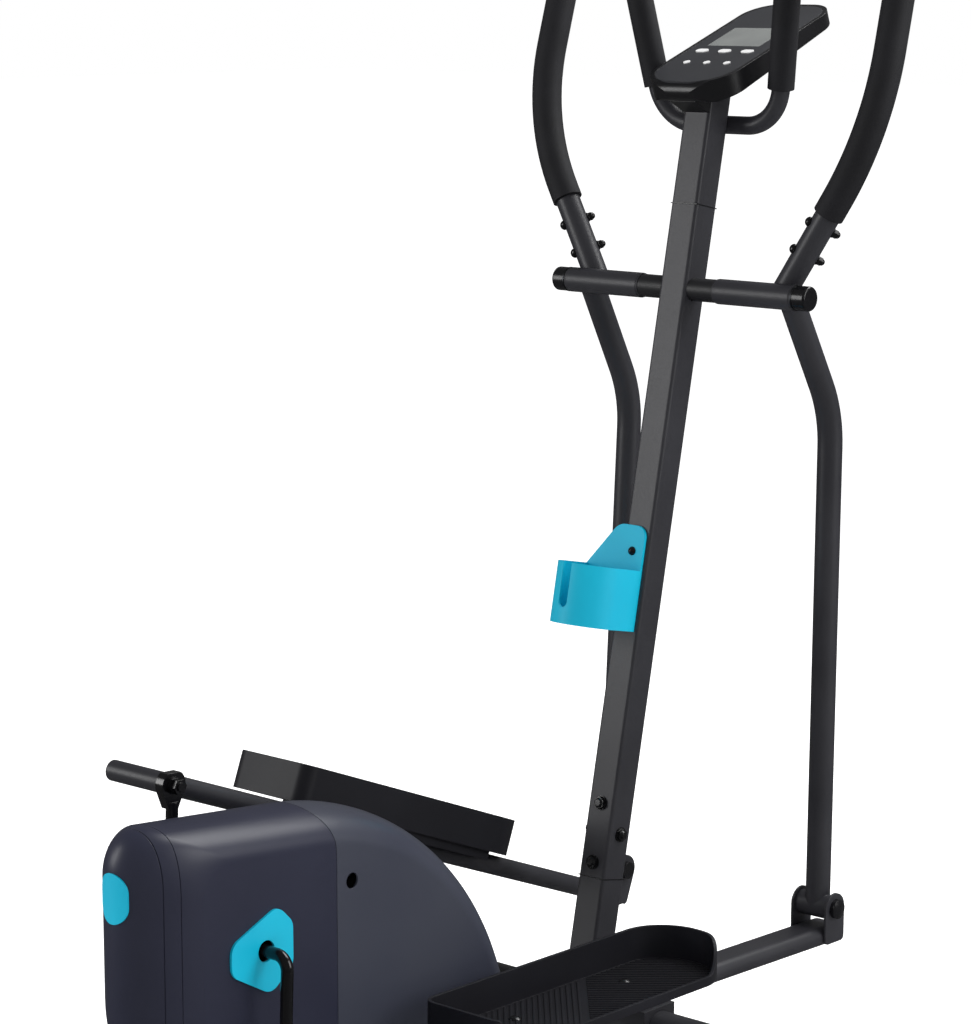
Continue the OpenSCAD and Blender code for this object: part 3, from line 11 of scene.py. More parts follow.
import bmesh
import bpy
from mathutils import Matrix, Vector


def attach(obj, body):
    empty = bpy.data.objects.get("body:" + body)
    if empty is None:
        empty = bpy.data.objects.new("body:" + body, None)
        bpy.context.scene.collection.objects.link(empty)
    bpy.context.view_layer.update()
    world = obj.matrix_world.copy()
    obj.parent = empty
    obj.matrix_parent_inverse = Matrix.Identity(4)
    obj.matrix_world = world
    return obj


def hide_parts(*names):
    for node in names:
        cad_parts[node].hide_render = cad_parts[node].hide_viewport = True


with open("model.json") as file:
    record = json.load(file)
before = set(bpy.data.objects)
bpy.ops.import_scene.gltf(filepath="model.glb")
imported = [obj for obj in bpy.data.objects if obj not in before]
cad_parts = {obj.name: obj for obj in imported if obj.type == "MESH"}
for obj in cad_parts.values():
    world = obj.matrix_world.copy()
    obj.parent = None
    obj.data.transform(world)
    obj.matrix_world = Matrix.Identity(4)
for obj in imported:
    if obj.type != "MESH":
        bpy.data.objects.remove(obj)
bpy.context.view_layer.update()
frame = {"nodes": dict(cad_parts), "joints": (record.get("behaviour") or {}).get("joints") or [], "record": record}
NODES = frame["nodes"]

# %% [markdown]
# ## The camera
# A product picture is taken from far away with a long lens, so that upright tubes stay nearly parallel. The
# camera stands behind the trainer, to its right, a little above the handles' joints, and looks down by
# about ten degrees. The mast and console fill the right half of the picture.

# %% Camera
MM = 0.001
EYE = Vector((-2649.0, -2379.0, 1335.4)) * MM
TURN = math.radians(42.0086)
DOWN = math.radians(9.7418)
LENS, SENSOR = 109.69, 36
SIGHT = 60

look = Vector((math.cos(TURN) * math.cos(DOWN), math.sin(TURN) * math.cos(DOWN), -math.sin(DOWN)))
camera_data = bpy.data.cameras.new("camera")
camera_data.lens = LENS
camera_data.sensor_width = SENSOR
camera_data.clip_end = SIGHT
camera = bpy.data.objects.new("camera", camera_data)
camera.location = EYE
camera.rotation_euler = look.to_track_quat("-Z", "Y").to_euler()
bpy.context.scene.collection.objects.link(camera)
bpy.context.scene.camera = camera
print("camera looks along", [round(c, 3) for c in look])

# %% [markdown]
# ## Colour and nodes
# Colours are easiest to pick as the hex codes that screens use, but shaders want linear light, so one
# function converts them. A second small function adds a node, sets its values and links its inputs, which
# keeps every material below short enough to read.

# %% Helpers for colours and nodes
def linear(code):
    """Linear RGBA of an sRGB hex colour such as "#3a3a3d"."""
    channels = [int(code[i:i + 2], 16) / 255 for i in (1, 3, 5)]
    bright = [c / 12.92 if c <= 0.04045 else ((c + 0.055) / 1.055) ** 2.4 for c in channels]
    return (*bright, 1.0)


def add(tree, kind, inputs=None, **settings):
    """A new node. Inputs are values, or sockets to link from."""
    item = tree.nodes.new(kind)
    for name, value in settings.items():
        setattr(item, name, value)
    for key, value in (inputs or {}).items():
        if isinstance(value, bpy.types.NodeSocket):
            tree.links.new(value, item.inputs[key])
        else:
            item.inputs[key].default_value = value
    return item


print("mid grey in linear light:", round(linear("#808080")[0], 3))

# %% [markdown]
# ## One finish, many parts
# Most surfaces here differ in the same few ways: a colour that wanders a little over some centimetres, a
# fine grain in the gloss and in the relief, and edges that a press or a mould has rounded. One function
# builds such a finish from its real sizes. Each pattern is laid out in object space, in metres, so it
# stays on the part when the part moves. One wave of noise is a light patch and a dark one, so its scale is
# half of one over the size of a patch. A Voronoi pattern's scale is one over the size of a cell.

# %% A finish from its real sizes
PATCH, CELL = 0.5, 1.0
RAMP_DARK, RAMP_LIGHT = 0.3, 0.7
GLOSS_DOWN, GLOSS_UP = 0.05, 0.06
EDGE_SAMPLES = 4


def surface(name, dark, light, rough, grain_mm, relief_mm, metal=0.0, edge_mm=0.8, mottle_mm=60.0,
            pores=False, **plain):
    """A material with mottled colour, grain in gloss and relief, and softened edges."""
    made = bpy.data.materials.new(name)
    made.use_nodes = True
    made.diffuse_color = linear(light)
    tree = made.node_tree
    shader = tree.nodes["Principled BSDF"]
    shader.inputs["Metallic"].default_value = metal
    for key, value in plain.items():
        shader.inputs[key.replace("_", " ")].default_value = value
    spot = add(tree, "ShaderNodeTexCoord").outputs["Object"]
    mottle = add(tree, "ShaderNodeTexNoise", {"Vector": spot, "Scale": PATCH / (mottle_mm * MM)})
    colour = add(tree, "ShaderNodeValToRGB", {"Fac": mottle.outputs["Fac"]})
    for stop, at, code in zip(colour.color_ramp.elements, (RAMP_DARK, RAMP_LIGHT), (dark, light)):
        stop.position = at
        stop.color = linear(code)
    if pores:
        grain = add(tree, "ShaderNodeTexVoronoi", {"Vector": spot, "Scale": CELL / (grain_mm * MM)})
        height = grain.outputs["Distance"]
    else:
        grain = add(tree, "ShaderNodeTexNoise", {"Vector": spot, "Scale": PATCH / (grain_mm * MM)})
        height = grain.outputs["Fac"]
    gloss = add(tree, "ShaderNodeMapRange", {
        "Value": height, "To Min": rough - GLOSS_DOWN, "To Max": rough + GLOSS_UP})
    edge = add(tree, "ShaderNodeBevel", {"Radius": edge_mm * MM}, samples=EDGE_SAMPLES)
    relief = add(tree, "ShaderNodeBump", {
        "Height": height, "Distance": relief_mm * MM, "Strength": 1.0, "Normal": edge.outputs["Normal"]})
    tree.links.new(colour.outputs["Color"], shader.inputs["Base Color"])
    tree.links.new(gloss.outputs["Result"], shader.inputs["Roughness"])
    tree.links.new(relief.outputs["Normal"], shader.inputs["Normal"])
    return made


print("noise scale for a grain of 1 mm:", PATCH / MM)

# %% [markdown]
# ## Powder-coated steel
# The tubes are welded mild steel under a charcoal powder coat, and the swing axle is under a black one.
# Powder melts and flows in the oven, and leaves a very fine orange peel about a millimetre across. It
# breaks up reflections and gives the eye a satin grey with one wide, soft highlight along each tube. The
# square tubes have corner bends of about 2 mm, so their edges are softened by as much.

# %% Material: powder coat
charcoal_powder = surface("powder_coat_charcoal", "#2b2b30", "#333338", 0.40, 1.2, 0.05, edge_mm=2.0)
frame_powder = surface("powder_coat_black", "#1b1b1e", "#202023", 0.45, 1.2, 0.05)
print("powder coats:", charcoal_powder.name, frame_powder.name)

# %% [markdown]
# ## Moulded plastics
# The housing is injection-moulded ABS. The rear shells are a deep navy with a fine spark texture, and the
# front shells a lighter blue grey, so the seam between them reads from afar. The cup and the badge are the
# same plastic in cyan. The pedals are black polypropylene, which is a little waxy and shines in broad
# patches, with a lower specular level than ABS.

# %% Material: housing, cup and pedals
rear_abs = surface("abs_navy", "#25273a", "#2b2d40", 0.40, 0.9, 0.03, mottle_mm=90.0)
front_abs = surface("abs_blue_grey", "#383b49", "#40434f", 0.36, 0.8, 0.02, edge_mm=1.4, mottle_mm=90.0)
cyan_abs = surface("abs_cyan", "#00b2d4", "#00bede", 0.46, 0.7, 0.02, Specular_IOR_Level=0.3)
pedal_plastic = surface("polypropylene_black", "#17171d", "#1d1d24", 0.46, 0.8, 0.03, edge_mm=1.2,
                        Specular_IOR_Level=0.35)
print("large mouldings:", rear_abs.name, front_abs.name, cyan_abs.name, pedal_plastic.name)

# %% [markdown]
# ## Console, caps and bushes
# The console's shell is black ABS from a polished mould, so it shows sharper reflections than the housing.
# Its face is a matt dark grey, and the keys are white. Caps and bushes are nylon. A cap is smooth, nearly
# black and has a small bright highlight, and a bush is dark grey and dull from grease and dust.

# %% Material: console, caps and bushes
console_abs = surface("abs_console_black", "#101012", "#151518", 0.30, 0.6, 0.01)
face_abs = surface("abs_console_face", "#2b2c30", "#313236", 0.42, 0.6, 0.03)
key_plastic = surface("abs_key_white", "#dcdcdc", "#e8e8e8", 0.45, 0.5, 0.01, edge_mm=0.4)
cap_plastic = surface("nylon_cap_black", "#0d0d10", "#121215", 0.24, 0.6, 0.01)
bush_nylon = surface("nylon_bush", "#2a2a2e", "#333338", 0.5, 0.6, 0.02, edge_mm=0.4)
print("small mouldings:", console_abs.name, face_abs.name, key_plastic.name, cap_plastic.name,
      bush_nylon.name)

# %% [markdown]
# ## Foam grips
# The grips are closed-cell nitrile foam tubes. They scatter light at every cell wall, so they look almost
# black with hardly a highlight, and the skin shows fine pores. Real pores are under a millimetre wide. They
# are drawn 1.1 mm wide, so that they still show. A Voronoi pattern gives the round cells.

# %% Material: nitrile foam
foam = surface("nitrile_foam", "#15151a", "#1b1b21", 0.72, 1.1, 0.12, mottle_mm=30.0, pores=True)
print("foam:", foam.name)

# %% [markdown]
# ## Metals and rubber
# Bolts are zinc-plated steel, and the washers of the swing axle are zinc-plated and passivated black. The
# crank is forged steel under a thick black gloss enamel, and the flywheel is cast iron. Bare metals keep a
# metallic value of one and take their look from roughness. The wheels and the belt are black rubber, dull
# and slightly dusty.

# %% Material: plated, enamelled and cast metals, and rubber
zinc = surface("zinc_plated_steel", "#aeb1b5", "#bcbfc3", 0.32, 4.0, 0.0, metal=1.0, edge_mm=0.4)
enamel = surface("black_gloss_enamel", "#0b0b0d", "#101012", 0.16, 6.0, 0.03)
iron = surface("cast_iron", "#56585c", "#64666a", 0.55, 1.5, 0.1, metal=1.0)
rubber = surface("tyre_rubber", "#151517", "#1e1e20", 0.7, 3.0, 0.05)
black_zinc = surface("black_zinc_steel", "#3a3b3e", "#454649", 0.4, 4.0, 0.0, metal=1.0, edge_mm=0.4)
print("metals and rubber:", zinc.name, enamel.name, iron.name, rubber.name, black_zinc.name)

# %% [markdown]
# ## Display glass
# The display is a grey liquid-crystal panel behind a clear window. Unpowered, it shows a flat grey green
# under the gloss of the window, so the finish has a clear coat.

# %% Material: display
lcd = surface("lcd_panel", "#7f8281", "#8b8e8c", 0.2, 0.4, 0.0, mottle_mm=25.0, Coat_Weight=0.6,
              Coat_Roughness=0.08)
print("display:", lcd.name)

# %% [markdown]
# ## Dressing the CAD parts
# Each CAD part keeps its shape and gets the material of the real part. The record already says which
# finish each part has, so one table goes from that finish to the material. A second one holds the few parts
# whose real finish differs from that of the others with the same word in the record.

# %% Assign materials by finish
FINISHES = {
    "tube": charcoal_powder, "frame_dark": frame_powder, "housing_rear": rear_abs, "housing_front": front_abs,
    "foam": foam, "cyan": cyan_abs, "steel": zinc, "black_metal": enamel, "black_plastic": cap_plastic,
    "nylon": bush_nylon, "pedal": pedal_plastic, "screen": lcd, "face": face_abs, "key": key_plastic,
    "cast": iron, "wheel": rubber,
}
SPECIAL = {"console_shell": console_abs, "axle_washers": black_zinc, "crossbar_axle": frame_powder}

for part in frame["record"]["subparts"]:
    finish = SPECIAL.get(part["node"], FINISHES[part["material_slot"]])
    for holder in NODES[part["node"]].material_slots:
        holder.material = finish

# %% [markdown]
# ## Moulded pieces
# The CAD shells are made of flat facets, as a solid has to be. The real shells are smooth, so they are
# made again here as fine meshes on the same outline. Four helpers are enough: one turns points and faces
# into a piece, one makes a prism to cut with, one cuts, and one smooths the shading.

# %% Helpers for meshes
SHARP = 30


def new_piece(name, points, faces, finish):
    """A mesh object from points in millimetres."""
    mesh = bpy.data.meshes.new(name)
    mesh.from_pydata([Vector(p) * MM for p in points], [], faces)
    mesh.materials.append(finish)
    piece = bpy.data.objects.new(name, mesh)
    bpy.context.scene.collection.objects.link(piece)
    shape = bmesh.new()
    shape.from_mesh(mesh)
    bmesh.ops.recalc_face_normals(shape, faces=shape.faces)
    shape.to_mesh(mesh)
    shape.free()
    return piece


def prism(outline, y_low, y_high):
    """A closed block from an X-Z outline, between two planes of Y."""
    n = len(outline)
    points = [(x, y, z) for y in (y_low, y_high) for x, z in outline]
    sides = [(i, (i + 1) % n, n + (i + 1) % n, n + i) for i in range(n)]
    return new_piece("cutter", points, [tuple(range(n)), tuple(range(n, 2 * n))] + sides, rear_abs)


def carve(piece, tool, operation):
    """Cuts the piece with the tool, which is then thrown away."""
    step = piece.modifiers.new("carve", "BOOLEAN")
    step.operation = operation
    step.solver = "EXACT"
    step.object = tool
    bpy.context.view_layer.objects.active = piece
    bpy.ops.object.modifier_apply(modifier=step.name)
    bpy.data.objects.remove(tool)


def smooth(piece):
    """Rounds the shading, except over sharp edges."""
    piece.data.shade_smooth()
    piece.data.set_sharp_from_angle(angle=math.radians(SHARP))


print("edges over", SHARP, "degrees stay sharp")

# %% [markdown]
# ## The housing's form
# Seen from the side, the housing has a large rounded nose, a straight top that falls forward a little, a
# small rear corner and a wide curl under the crank. Seen from behind, the top is a shallow crown. The
# crown is a quarter of an ellipse, so it runs into the flat sides without an edge. The side outline comes
# first, with every curve drawn as part of an ellipse.

# %% Side outline of the housing
TOP_X, TOP_Z, TOP_FALL = -541.7, 460.2, 0.081
NOSE_X, NOSE_R = -369.0, 369.7
NOSE_Z = TOP_Z - (NOSE_X - TOP_X) * TOP_FALL - NOSE_R * math.hypot(1, TOP_FALL)
CORNER_Z, CORNER_R = 414.0, 40.0
CURL_X, CURL_Z = -436.7, 275.0
CURL_STEPS, CORNER_STEPS, NOSE_STEPS = 24, 14, 72


def arc(x, z, wide, high, start, stop, count):
    """Points on an ellipse, from one angle in degrees to another."""
    turns = [math.radians(start + (stop - start) * i / count) for i in range(count + 1)]
    return [(x + wide * math.cos(t), z + high * math.sin(t)) for t in turns]


def side_outline(rear, low, base):
    """X-Z outline with its rear end at rear, and its top and nose lowered by low."""
    radius = NOSE_R - low
    top = TOP_Z - low - (rear + CORNER_R - TOP_X) * TOP_FALL
    return (arc(CURL_X, CURL_Z, CURL_X - rear, CURL_Z - base, 270, 180, CURL_STEPS)
            + arc(rear + CORNER_R, CORNER_Z - low, CORNER_R, top - CORNER_Z + low, 180, 90, CORNER_STEPS)
            + arc(NOSE_X, NOSE_Z, radius, radius, 90 - math.degrees(math.atan(TOP_FALL)),
                  math.degrees(math.asin((base - NOSE_Z) / radius)), NOSE_STEPS))


print("housing nose centre", round(NOSE_X, 1), round(NOSE_Z, 1))

# %% [markdown]
# The closed form is a row of these outlines from one side to the other. Away from the middle, each starts a
# little further forward, which rounds the rear end, and is a little lower, which gives the crown. The row
# is closer set near the sides, where the crown falls fastest.

# %% The closed housing
HOUSE_Y, CROWN = 57.0, 38.0
HOUSE_REAR, HOUSE_END, HOUSE_BASE = -586.7, 88.0, 124.0
SIDE_STEPS = 20
END_SLACK = 0.5


def housing_body(inset):
    """The closed housing, moved in by inset all round."""
    shares = [math.sin(math.radians(90 * i / SIDE_STEPS)) for i in range(-SIDE_STEPS, SIDE_STEPS + 1)]
    points, faces = [], []
    for share in shares:
        y = abs(share) * HOUSE_Y
        rear = HOUSE_REAR + HOUSE_END * (1 - math.sqrt(1 - (y / (HOUSE_Y + END_SLACK)) ** 2))
        crown = CROWN * (1 - math.sqrt(max(0.0, 1 - share * share)))
        ring = side_outline(rear + inset, crown + inset, HOUSE_BASE + inset)
        points += [(x, share * (HOUSE_Y - inset), z) for x, z in ring]
    n = len(ring)
    for i in range(len(shares) - 1):
        faces += [(i * n + j, i * n + (j + 1) % n, (i + 1) * n + (j + 1) % n, (i + 1) * n + j)
                  for j in range(n)]
    faces += [tuple(range(n)), tuple(range(len(points) - n, len(points)))]
    return new_piece("housing", points, faces, rear_abs)


print("outlines across the housing:", 2 * SIDE_STEPS + 1)

# %% [markdown]
# ## Three mouldings with seams
# The housing shows three mouldings: a rear end cap, the navy rear shells and the grey front shells. They
# meet in fine open seams. The left and right shells close so tightly over the crown that each pair is one
# piece here. The seam of the front shells runs up and then curls back over the crown, and the rear cap has
# a groove close to its seam. Each moulding is the whole form, hollowed and cut to its own zone.

# %% Seams and zones
SEAM_X, SEAM_BACK, SEAM_RISE = -313.7, 50.0, 74.0
CAP_SEAM_X, SEAM_GAP = -537.7, 0.7
SEAM_STEPS = 24
FAR = 700.0


def seam_zone(gap):
    """Everything in front of the curled seam."""
    x = SEAM_X - SEAM_BACK + gap
    curl = arc(x, TOP_Z - SEAM_RISE, SEAM_BACK, SEAM_RISE, 90, 0, SEAM_STEPS)
    return [(FAR, 0), (FAR, FAR), (x, FAR)] + curl + [(SEAM_X + gap, 0)]


def behind(x):
    """Everything behind a plane."""
    return [(-FAR, 0), (x, 0), (x, FAR), (-FAR, FAR)]


front_zone = seam_zone(SEAM_GAP)
rear_zone = [(CAP_SEAM_X + SEAM_GAP, 0), (CAP_SEAM_X + SEAM_GAP, FAR)] + seam_zone(0.0)[2:]
print("points round the front zone:", len(front_zone))

# %% [markdown]
# Cutting with whole blocks gives clean edges: first the zone is kept, then a smaller housing is taken out,
# which leaves the wall, and last the holes go through. The crank's axle and a service hole pass through
# both sides, and the base is open over the floor frame's beam, where the drive frame stands.

# %% Housing mouldings
WALL = 2.5
CRANK_X, CRANK_Z, CRANK_HOLE = -423.7, 309.0, 24.0
ACCESS_X, ACCESS_Z, ACCESS_HOLE = -289.7, 357.0, 18.0
ROUND_END, ROUND_STEPS = 350, 35
SLOT = [(-483.7, 100), (-46.7, 100), (-46.7, 131), (-483.7, 131)]
SLOT_HALF = 42


def moulding(name, zone, finish, *nodes):
    """The part of the hollow housing inside a zone, in place of the CAD nodes named."""
    piece = housing_body(0.0)
    carve(piece, prism(zone, -FAR, FAR), "INTERSECT")
    carve(piece, housing_body(WALL), "DIFFERENCE")
    for x, z, width in ((CRANK_X, CRANK_Z, CRANK_HOLE), (ACCESS_X, ACCESS_Z, ACCESS_HOLE)):
        hole = arc(x, z, width / 2, width / 2, 0, ROUND_END, ROUND_STEPS)
        carve(piece, prism(hole, -FAR, FAR), "DIFFERENCE")
    carve(piece, prism(SLOT, -SLOT_HALF, SLOT_HALF), "DIFFERENCE")
    piece.name = name
    piece.data.materials.clear()
    piece.data.materials.append(finish)
    smooth(piece)
    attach(piece, "frame")
    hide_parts(*nodes)
    print(name, len(piece.data.polygons), "faces")
    return piece


moulding("front_shell_skin", front_zone, front_abs, "left_front_shell", "right_front_shell")
moulding("rear_shell_skin", rear_zone, rear_abs, "left_rear_shell", "right_rear_shell")
end_cap = moulding("rear_cap_skin", behind(CAP_SEAM_X), rear_abs, "rear_end_cap")

# %% [markdown]
# The groove of the end cap is moulded in, close to its seam. The tool that cuts it is a thin ring of the
# housing's own form: a housing a little too large, hollowed by one a little too small, and cut off by two
# planes. So the groove is equally deep all round.

# %% The groove round the end cap
CAP_GROOVE_X, GROOVE_WIDTH, GROOVE_DEPTH = -554.7, 0.9, 0.8
ring = housing_body(-GROOVE_WIDTH)
carve(ring, housing_body(GROOVE_DEPTH), "DIFFERENCE")
carve(ring, prism(behind(CAP_GROOVE_X), -FAR, FAR), "INTERSECT")
carve(ring, prism(behind(CAP_GROOVE_X - GROOVE_WIDTH), -FAR, FAR), "DIFFERENCE")
carve(end_cap, ring, "DIFFERENCE")
smooth(end_cap)
print("grooved cap", len(end_cap.data.polygons), "faces")

# %% [markdown]
# ## Pedals
# A pedal is a tray moulded in one piece. Its wall is high along the inner side, round the toe and at the
# heel, and drops in a steep curve to a low lip on the outer side, where the foot steps on. Points are laid
# out in the pedal arm's own frame, along the arm, away from the middle and up, and are then turned into
# place, so that one set of sizes serves both sides.

# %% Pedal sizes and outline
PEDAL_START, PEDAL_LONG, PEDAL_IN, PEDAL_WIDE = 208.0, 418.0, 96.0, 122.0
WALL_HIGH, WALL_LOW = 45.0, 11.0
TOE_R, HEEL_R = 58.0, 18.0
HEEL_SLOPE, SLOPE_LONG = 2.0, 18.0
TOE_TURN = (8.0, 56.0)
HEEL_STEPS, TOE_IN_STEPS, TOE_OUT_STEPS, EDGE_STEPS = 10, 30, 48, 40


def tray_outline(inset):
    """Outline of the tray, counter-clockwise from the outer side's heel end."""
    heel, toe = PEDAL_START + HEEL_R, PEDAL_START + PEDAL_LONG - TOE_R
    low, high = PEDAL_IN + HEEL_R, PEDAL_IN + PEDAL_WIDE - HEEL_R
    toe_low, toe_high = PEDAL_IN + TOE_R, PEDAL_IN + PEDAL_WIDE - TOE_R
    outer = [(toe - (toe - heel) * i / EDGE_STEPS, PEDAL_IN + PEDAL_WIDE - inset)
             for i in range(1, EDGE_STEPS)]
    return (arc(heel, high, HEEL_R - inset, HEEL_R - inset, 90, 180, HEEL_STEPS)
            + arc(heel, low, HEEL_R - inset, HEEL_R - inset, 180, 270, HEEL_STEPS)
            + arc(toe, toe_low, TOE_R - inset, TOE_R - inset, 270, 360, TOE_IN_STEPS)
            + arc(toe, toe_high, TOE_R - inset, TOE_R - inset, 0, 90, TOE_OUT_STEPS) + outer)


def ease(share):
    """A smooth step from 0 to 1."""
    share = min(1.0, max(0.0, share))
    return share * share * (3 - 2 * share)


def wall_top(x, y):
    """Height of the wall over the tray's underside."""
    toe = PEDAL_START + PEDAL_LONG - TOE_R
    if y < PEDAL_IN + PEDAL_WIDE / 2:
        return WALL_HIGH
    heel_share = 1 - ease((x - PEDAL_START - HEEL_SLOPE) / SLOPE_LONG)
    toe_share = ease((x - toe - TOE_TURN[0]) / (TOE_TURN[1] - TOE_TURN[0]))
    return WALL_LOW + (WALL_HIGH - WALL_LOW) * max(heel_share, toe_share)


print("tray outline", len(tray_outline(0.0)), "points")

# %% [markdown]
# The floor's tread has fine ribs in two fields, so that a shoe grips along the pedal and across it. The
# fields meet on a slanting border: the ribs behind it run alongside it, and those in front run square to
# it. Each rib is a straight bar, clipped to the outline of the floor, which is convex, so one walk round the
# outline finds where the bar goes in and out.

# %% Tread ribs
TRAY_WALL, TREAD_MARGIN = 4.0, 3.0
RIB_PITCH, RIB_WIDE = 6.6, 2.2
BORDER = Vector((PEDAL_START + 211.0, PEDAL_IN + PEDAL_WIDE / 2))
BORDER_WAY = Vector((0.743, -0.669))
SQUARE_WAY = Vector((-BORDER_WAY.y, BORDER_WAY.x))
FIELD_GAP, RIB_ROWS = 4.0, 60


def clip(outline, middle, way):
    """The stretch of a line inside a convex outline, as two distances from middle."""
    start, stop = -FAR, FAR
    for a, b in zip(outline, outline[1:] + outline[:1]):
        edge = (b[0] - a[0], b[1] - a[1])
        gap = edge[0] * (middle[1] - a[1]) - edge[1] * (middle[0] - a[0])
        rate = edge[0] * way[1] - edge[1] * way[0]
        if rate > 0:
            start = max(start, -gap / rate)
        elif rate < 0:
            stop = min(stop, -gap / rate)
        elif gap < 0:
            return 0.0, 0.0
    return start, stop


def bar(middle, way, start, stop):
    """Corners of a bar along a line."""
    side = Vector((-way.y, way.x)) * RIB_WIDE / 2
    low, high = middle + way * start, middle + way * stop
    return [low - side, high - side, high + side, low + side]


def tread():
    """All the bars of the floor."""
    field = tray_outline(TRAY_WALL + TREAD_MARGIN)
    bars = []
    for row in range(-RIB_ROWS, RIB_ROWS + 1):
        middle = BORDER + BORDER_WAY * row * RIB_PITCH
        start, stop = clip(field, middle, SQUARE_WAY)
        start = max(start, FIELD_GAP)
        if stop - start > RIB_PITCH:
            bars.append(bar(middle, SQUARE_WAY, start, stop))
        middle = BORDER - SQUARE_WAY * row * RIB_PITCH
        start, stop = clip(field, middle, BORDER_WAY)
        if row > 0 and stop - start > RIB_PITCH:
            bars.append(bar(middle, BORDER_WAY, start, stop))
    return bars


print("ribs on a pedal:", len(tread()))

# %% [markdown]
# A moulded floor this thin needs stiffening. Two saddles under it sit on the pedal arm, where the pedal's
# bolts go through, and a lattice of thin ribs runs beside the arm. The arm splays outward a little towards
# the front, so the lattice follows its middle line. Every block runs 1 mm up into the floor, so that no gap
# shows.

# %% Saddles and ribs under the floor
SADDLES = (PEDAL_START + 110, PEDAL_START + PEDAL_LONG - 120)
SADDLE_LOW, SADDLE_X, SADDLE_Y = 12.2, 20.0, 22.0
TRAY_BASE, BLOCK_ROOT, RIB_STEP = 15.0, 1.0, 1.0
LINK_REAR_Y, LINK_SPREAD, LINK_RUN = 129.0, 27.2, 873.3
SKIRT_IN, SKIRT_OUT, SKIRT_LOW, SKIRT_WIDE = 26.0, 42.0, 4.0, 2.5
SKIRT_REAR, SKIRT_FRONT, SKIRT_PITCH = PEDAL_START + 60, PEDAL_START + PEDAL_LONG - 60, 37.0


def arm_y(x):
    """Distance of the arm's middle line from the trainer's middle plane."""
    return LINK_REAR_Y + LINK_SPREAD * x / LINK_RUN


def four(x_low, x_high, y_rear, y_front, near, far):
    """Four corners of a block, whose two ends may lie at different distances from the middle."""
    return [(x_low, y_rear + near), (x_high, y_front + near), (x_high, y_front + far), (x_low, y_rear + far)]


def underside():
    """Blocks under the floor: two saddles on the arm, and a lattice of ribs on either side of it."""
    blocks = []
    for x in SADDLES:
        blocks.append((four(x - SADDLE_X, x + SADDLE_X, arm_y(x), arm_y(x), -SADDLE_Y, SADDLE_Y), SADDLE_LOW))
    a, b = SKIRT_REAR, SKIRT_FRONT
    for out in (-SKIRT_OUT, -SKIRT_IN, SKIRT_IN, SKIRT_OUT):
        blocks.append((four(a, b, arm_y(a), arm_y(b), out, out + SKIRT_WIDE), SKIRT_LOW))
    for row in range(int((b - a) / SKIRT_PITCH) + 1):
        x = a + row * SKIRT_PITCH
        for low, high in ((-SKIRT_OUT, -SKIRT_IN), (SKIRT_IN, SKIRT_OUT)):
            cell = four(x, x + SKIRT_WIDE, arm_y(x), arm_y(x), low + RIB_STEP, high + RIB_STEP)
            blocks.append((cell, SKIRT_LOW + RIB_STEP))
    return [(corners, low, TRAY_BASE + BLOCK_ROOT) for corners, low in blocks]


print("blocks under a pedal:", len(underside()))

# %% [markdown]
# Now the tray itself. Four copies of the outline make its skin: the underside, the top of the wall outside
# and inside, and the floor. Tread and underside are added as closed blocks in the same mesh. The right tray
# is the left one's mirror image, and each is turned by the slope its arm has at rest.

# %% Pedal trays
TRAY_FLOOR, RIB_ROOT, RIB_HIGH = 5.0, 0.5, 1.3
ARM_SLOPE = {"left": math.radians(-21.2181), "right": math.radians(-0.3591)}
JOINTS = {joint["name"]: joint for joint in frame["joints"]}
BLOCK_FACES = ((0, 1, 2, 3), (4, 5, 6, 7), (0, 1, 5, 4), (1, 2, 6, 5), (2, 3, 7, 6), (3, 0, 4, 7))


def pedal_tray(side):
    """One tray, turned into place on its arm."""
    outer, inner = tray_outline(0.0), tray_outline(TRAY_WALL)
    n = len(outer)
    floor_z = TRAY_BASE + TRAY_FLOOR
    tops = [TRAY_BASE + wall_top(x, y) for x, y in outer]
    points = ([(x, y, TRAY_BASE) for x, y in outer] + [(x, y, z) for (x, y), z in zip(outer, tops)]
              + [(x, y, z) for (x, y), z in zip(inner, tops)] + [(x, y, floor_z) for x, y in inner])
    faces = [tuple(range(n)), tuple(range(3 * n, 4 * n))]
    for layer in range(3):
        for i in range(n):
            k = (i + 1) % n
            faces.append((layer * n + i, layer * n + k, (layer + 1) * n + k, (layer + 1) * n + i))
    blocks = [(corners, floor_z - RIB_ROOT, floor_z + RIB_HIGH) for corners in tread()] + underside()
    for corners, low, high in blocks:
        first = len(points)
        points += [(x, y, z) for z in (low, high) for x, y in corners]
        faces += [tuple(first + i for i in face) for face in BLOCK_FACES]
    pin = Vector(JOINTS[side + "_pedal_arm_turn"]["pos_m"]) / MM
    turn, mirror = ARM_SLOPE[side], 1 if side == "left" else -1
    placed = [(pin.x + x * math.cos(turn) - z * math.sin(turn), mirror * y,
               pin.z + x * math.sin(turn) + z * math.cos(turn)) for x, y, z in points]
    piece = new_piece(side + "_pedal_tray", placed, faces, pedal_plastic)
    smooth(piece)
    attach(piece, side + "_pedal_link")
    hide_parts(side + "_pedal")
    print(side, "pedal:", len(blocks), "ribs and blocks")


for side in ("left", "right"):
    pedal_tray(side)

# %% [markdown]
# ## Mast joints
# The mast is three tubes stacked end to end. A hairline of shadow shows where one ends and the next begins.
# A groove that narrow would cost a cut in two CAD parts, so a thin dark band lies round the tube instead. It
# stands less than half a millimetre proud, and is drawn a little wider than the real gap, so that it shows.

# %% Mast joint lines
MAST_X, MAST_PIVOT_Z, MAST_LEAN, MAST_HALF = 353.7, 958.0, math.radians(11.7), 20.0
LINE_OUT, LINE_HIGH = 0.4, 1.1
LOWER_JOINT_Z, UPPER_JOINT_Z = 242.0, 1058.0


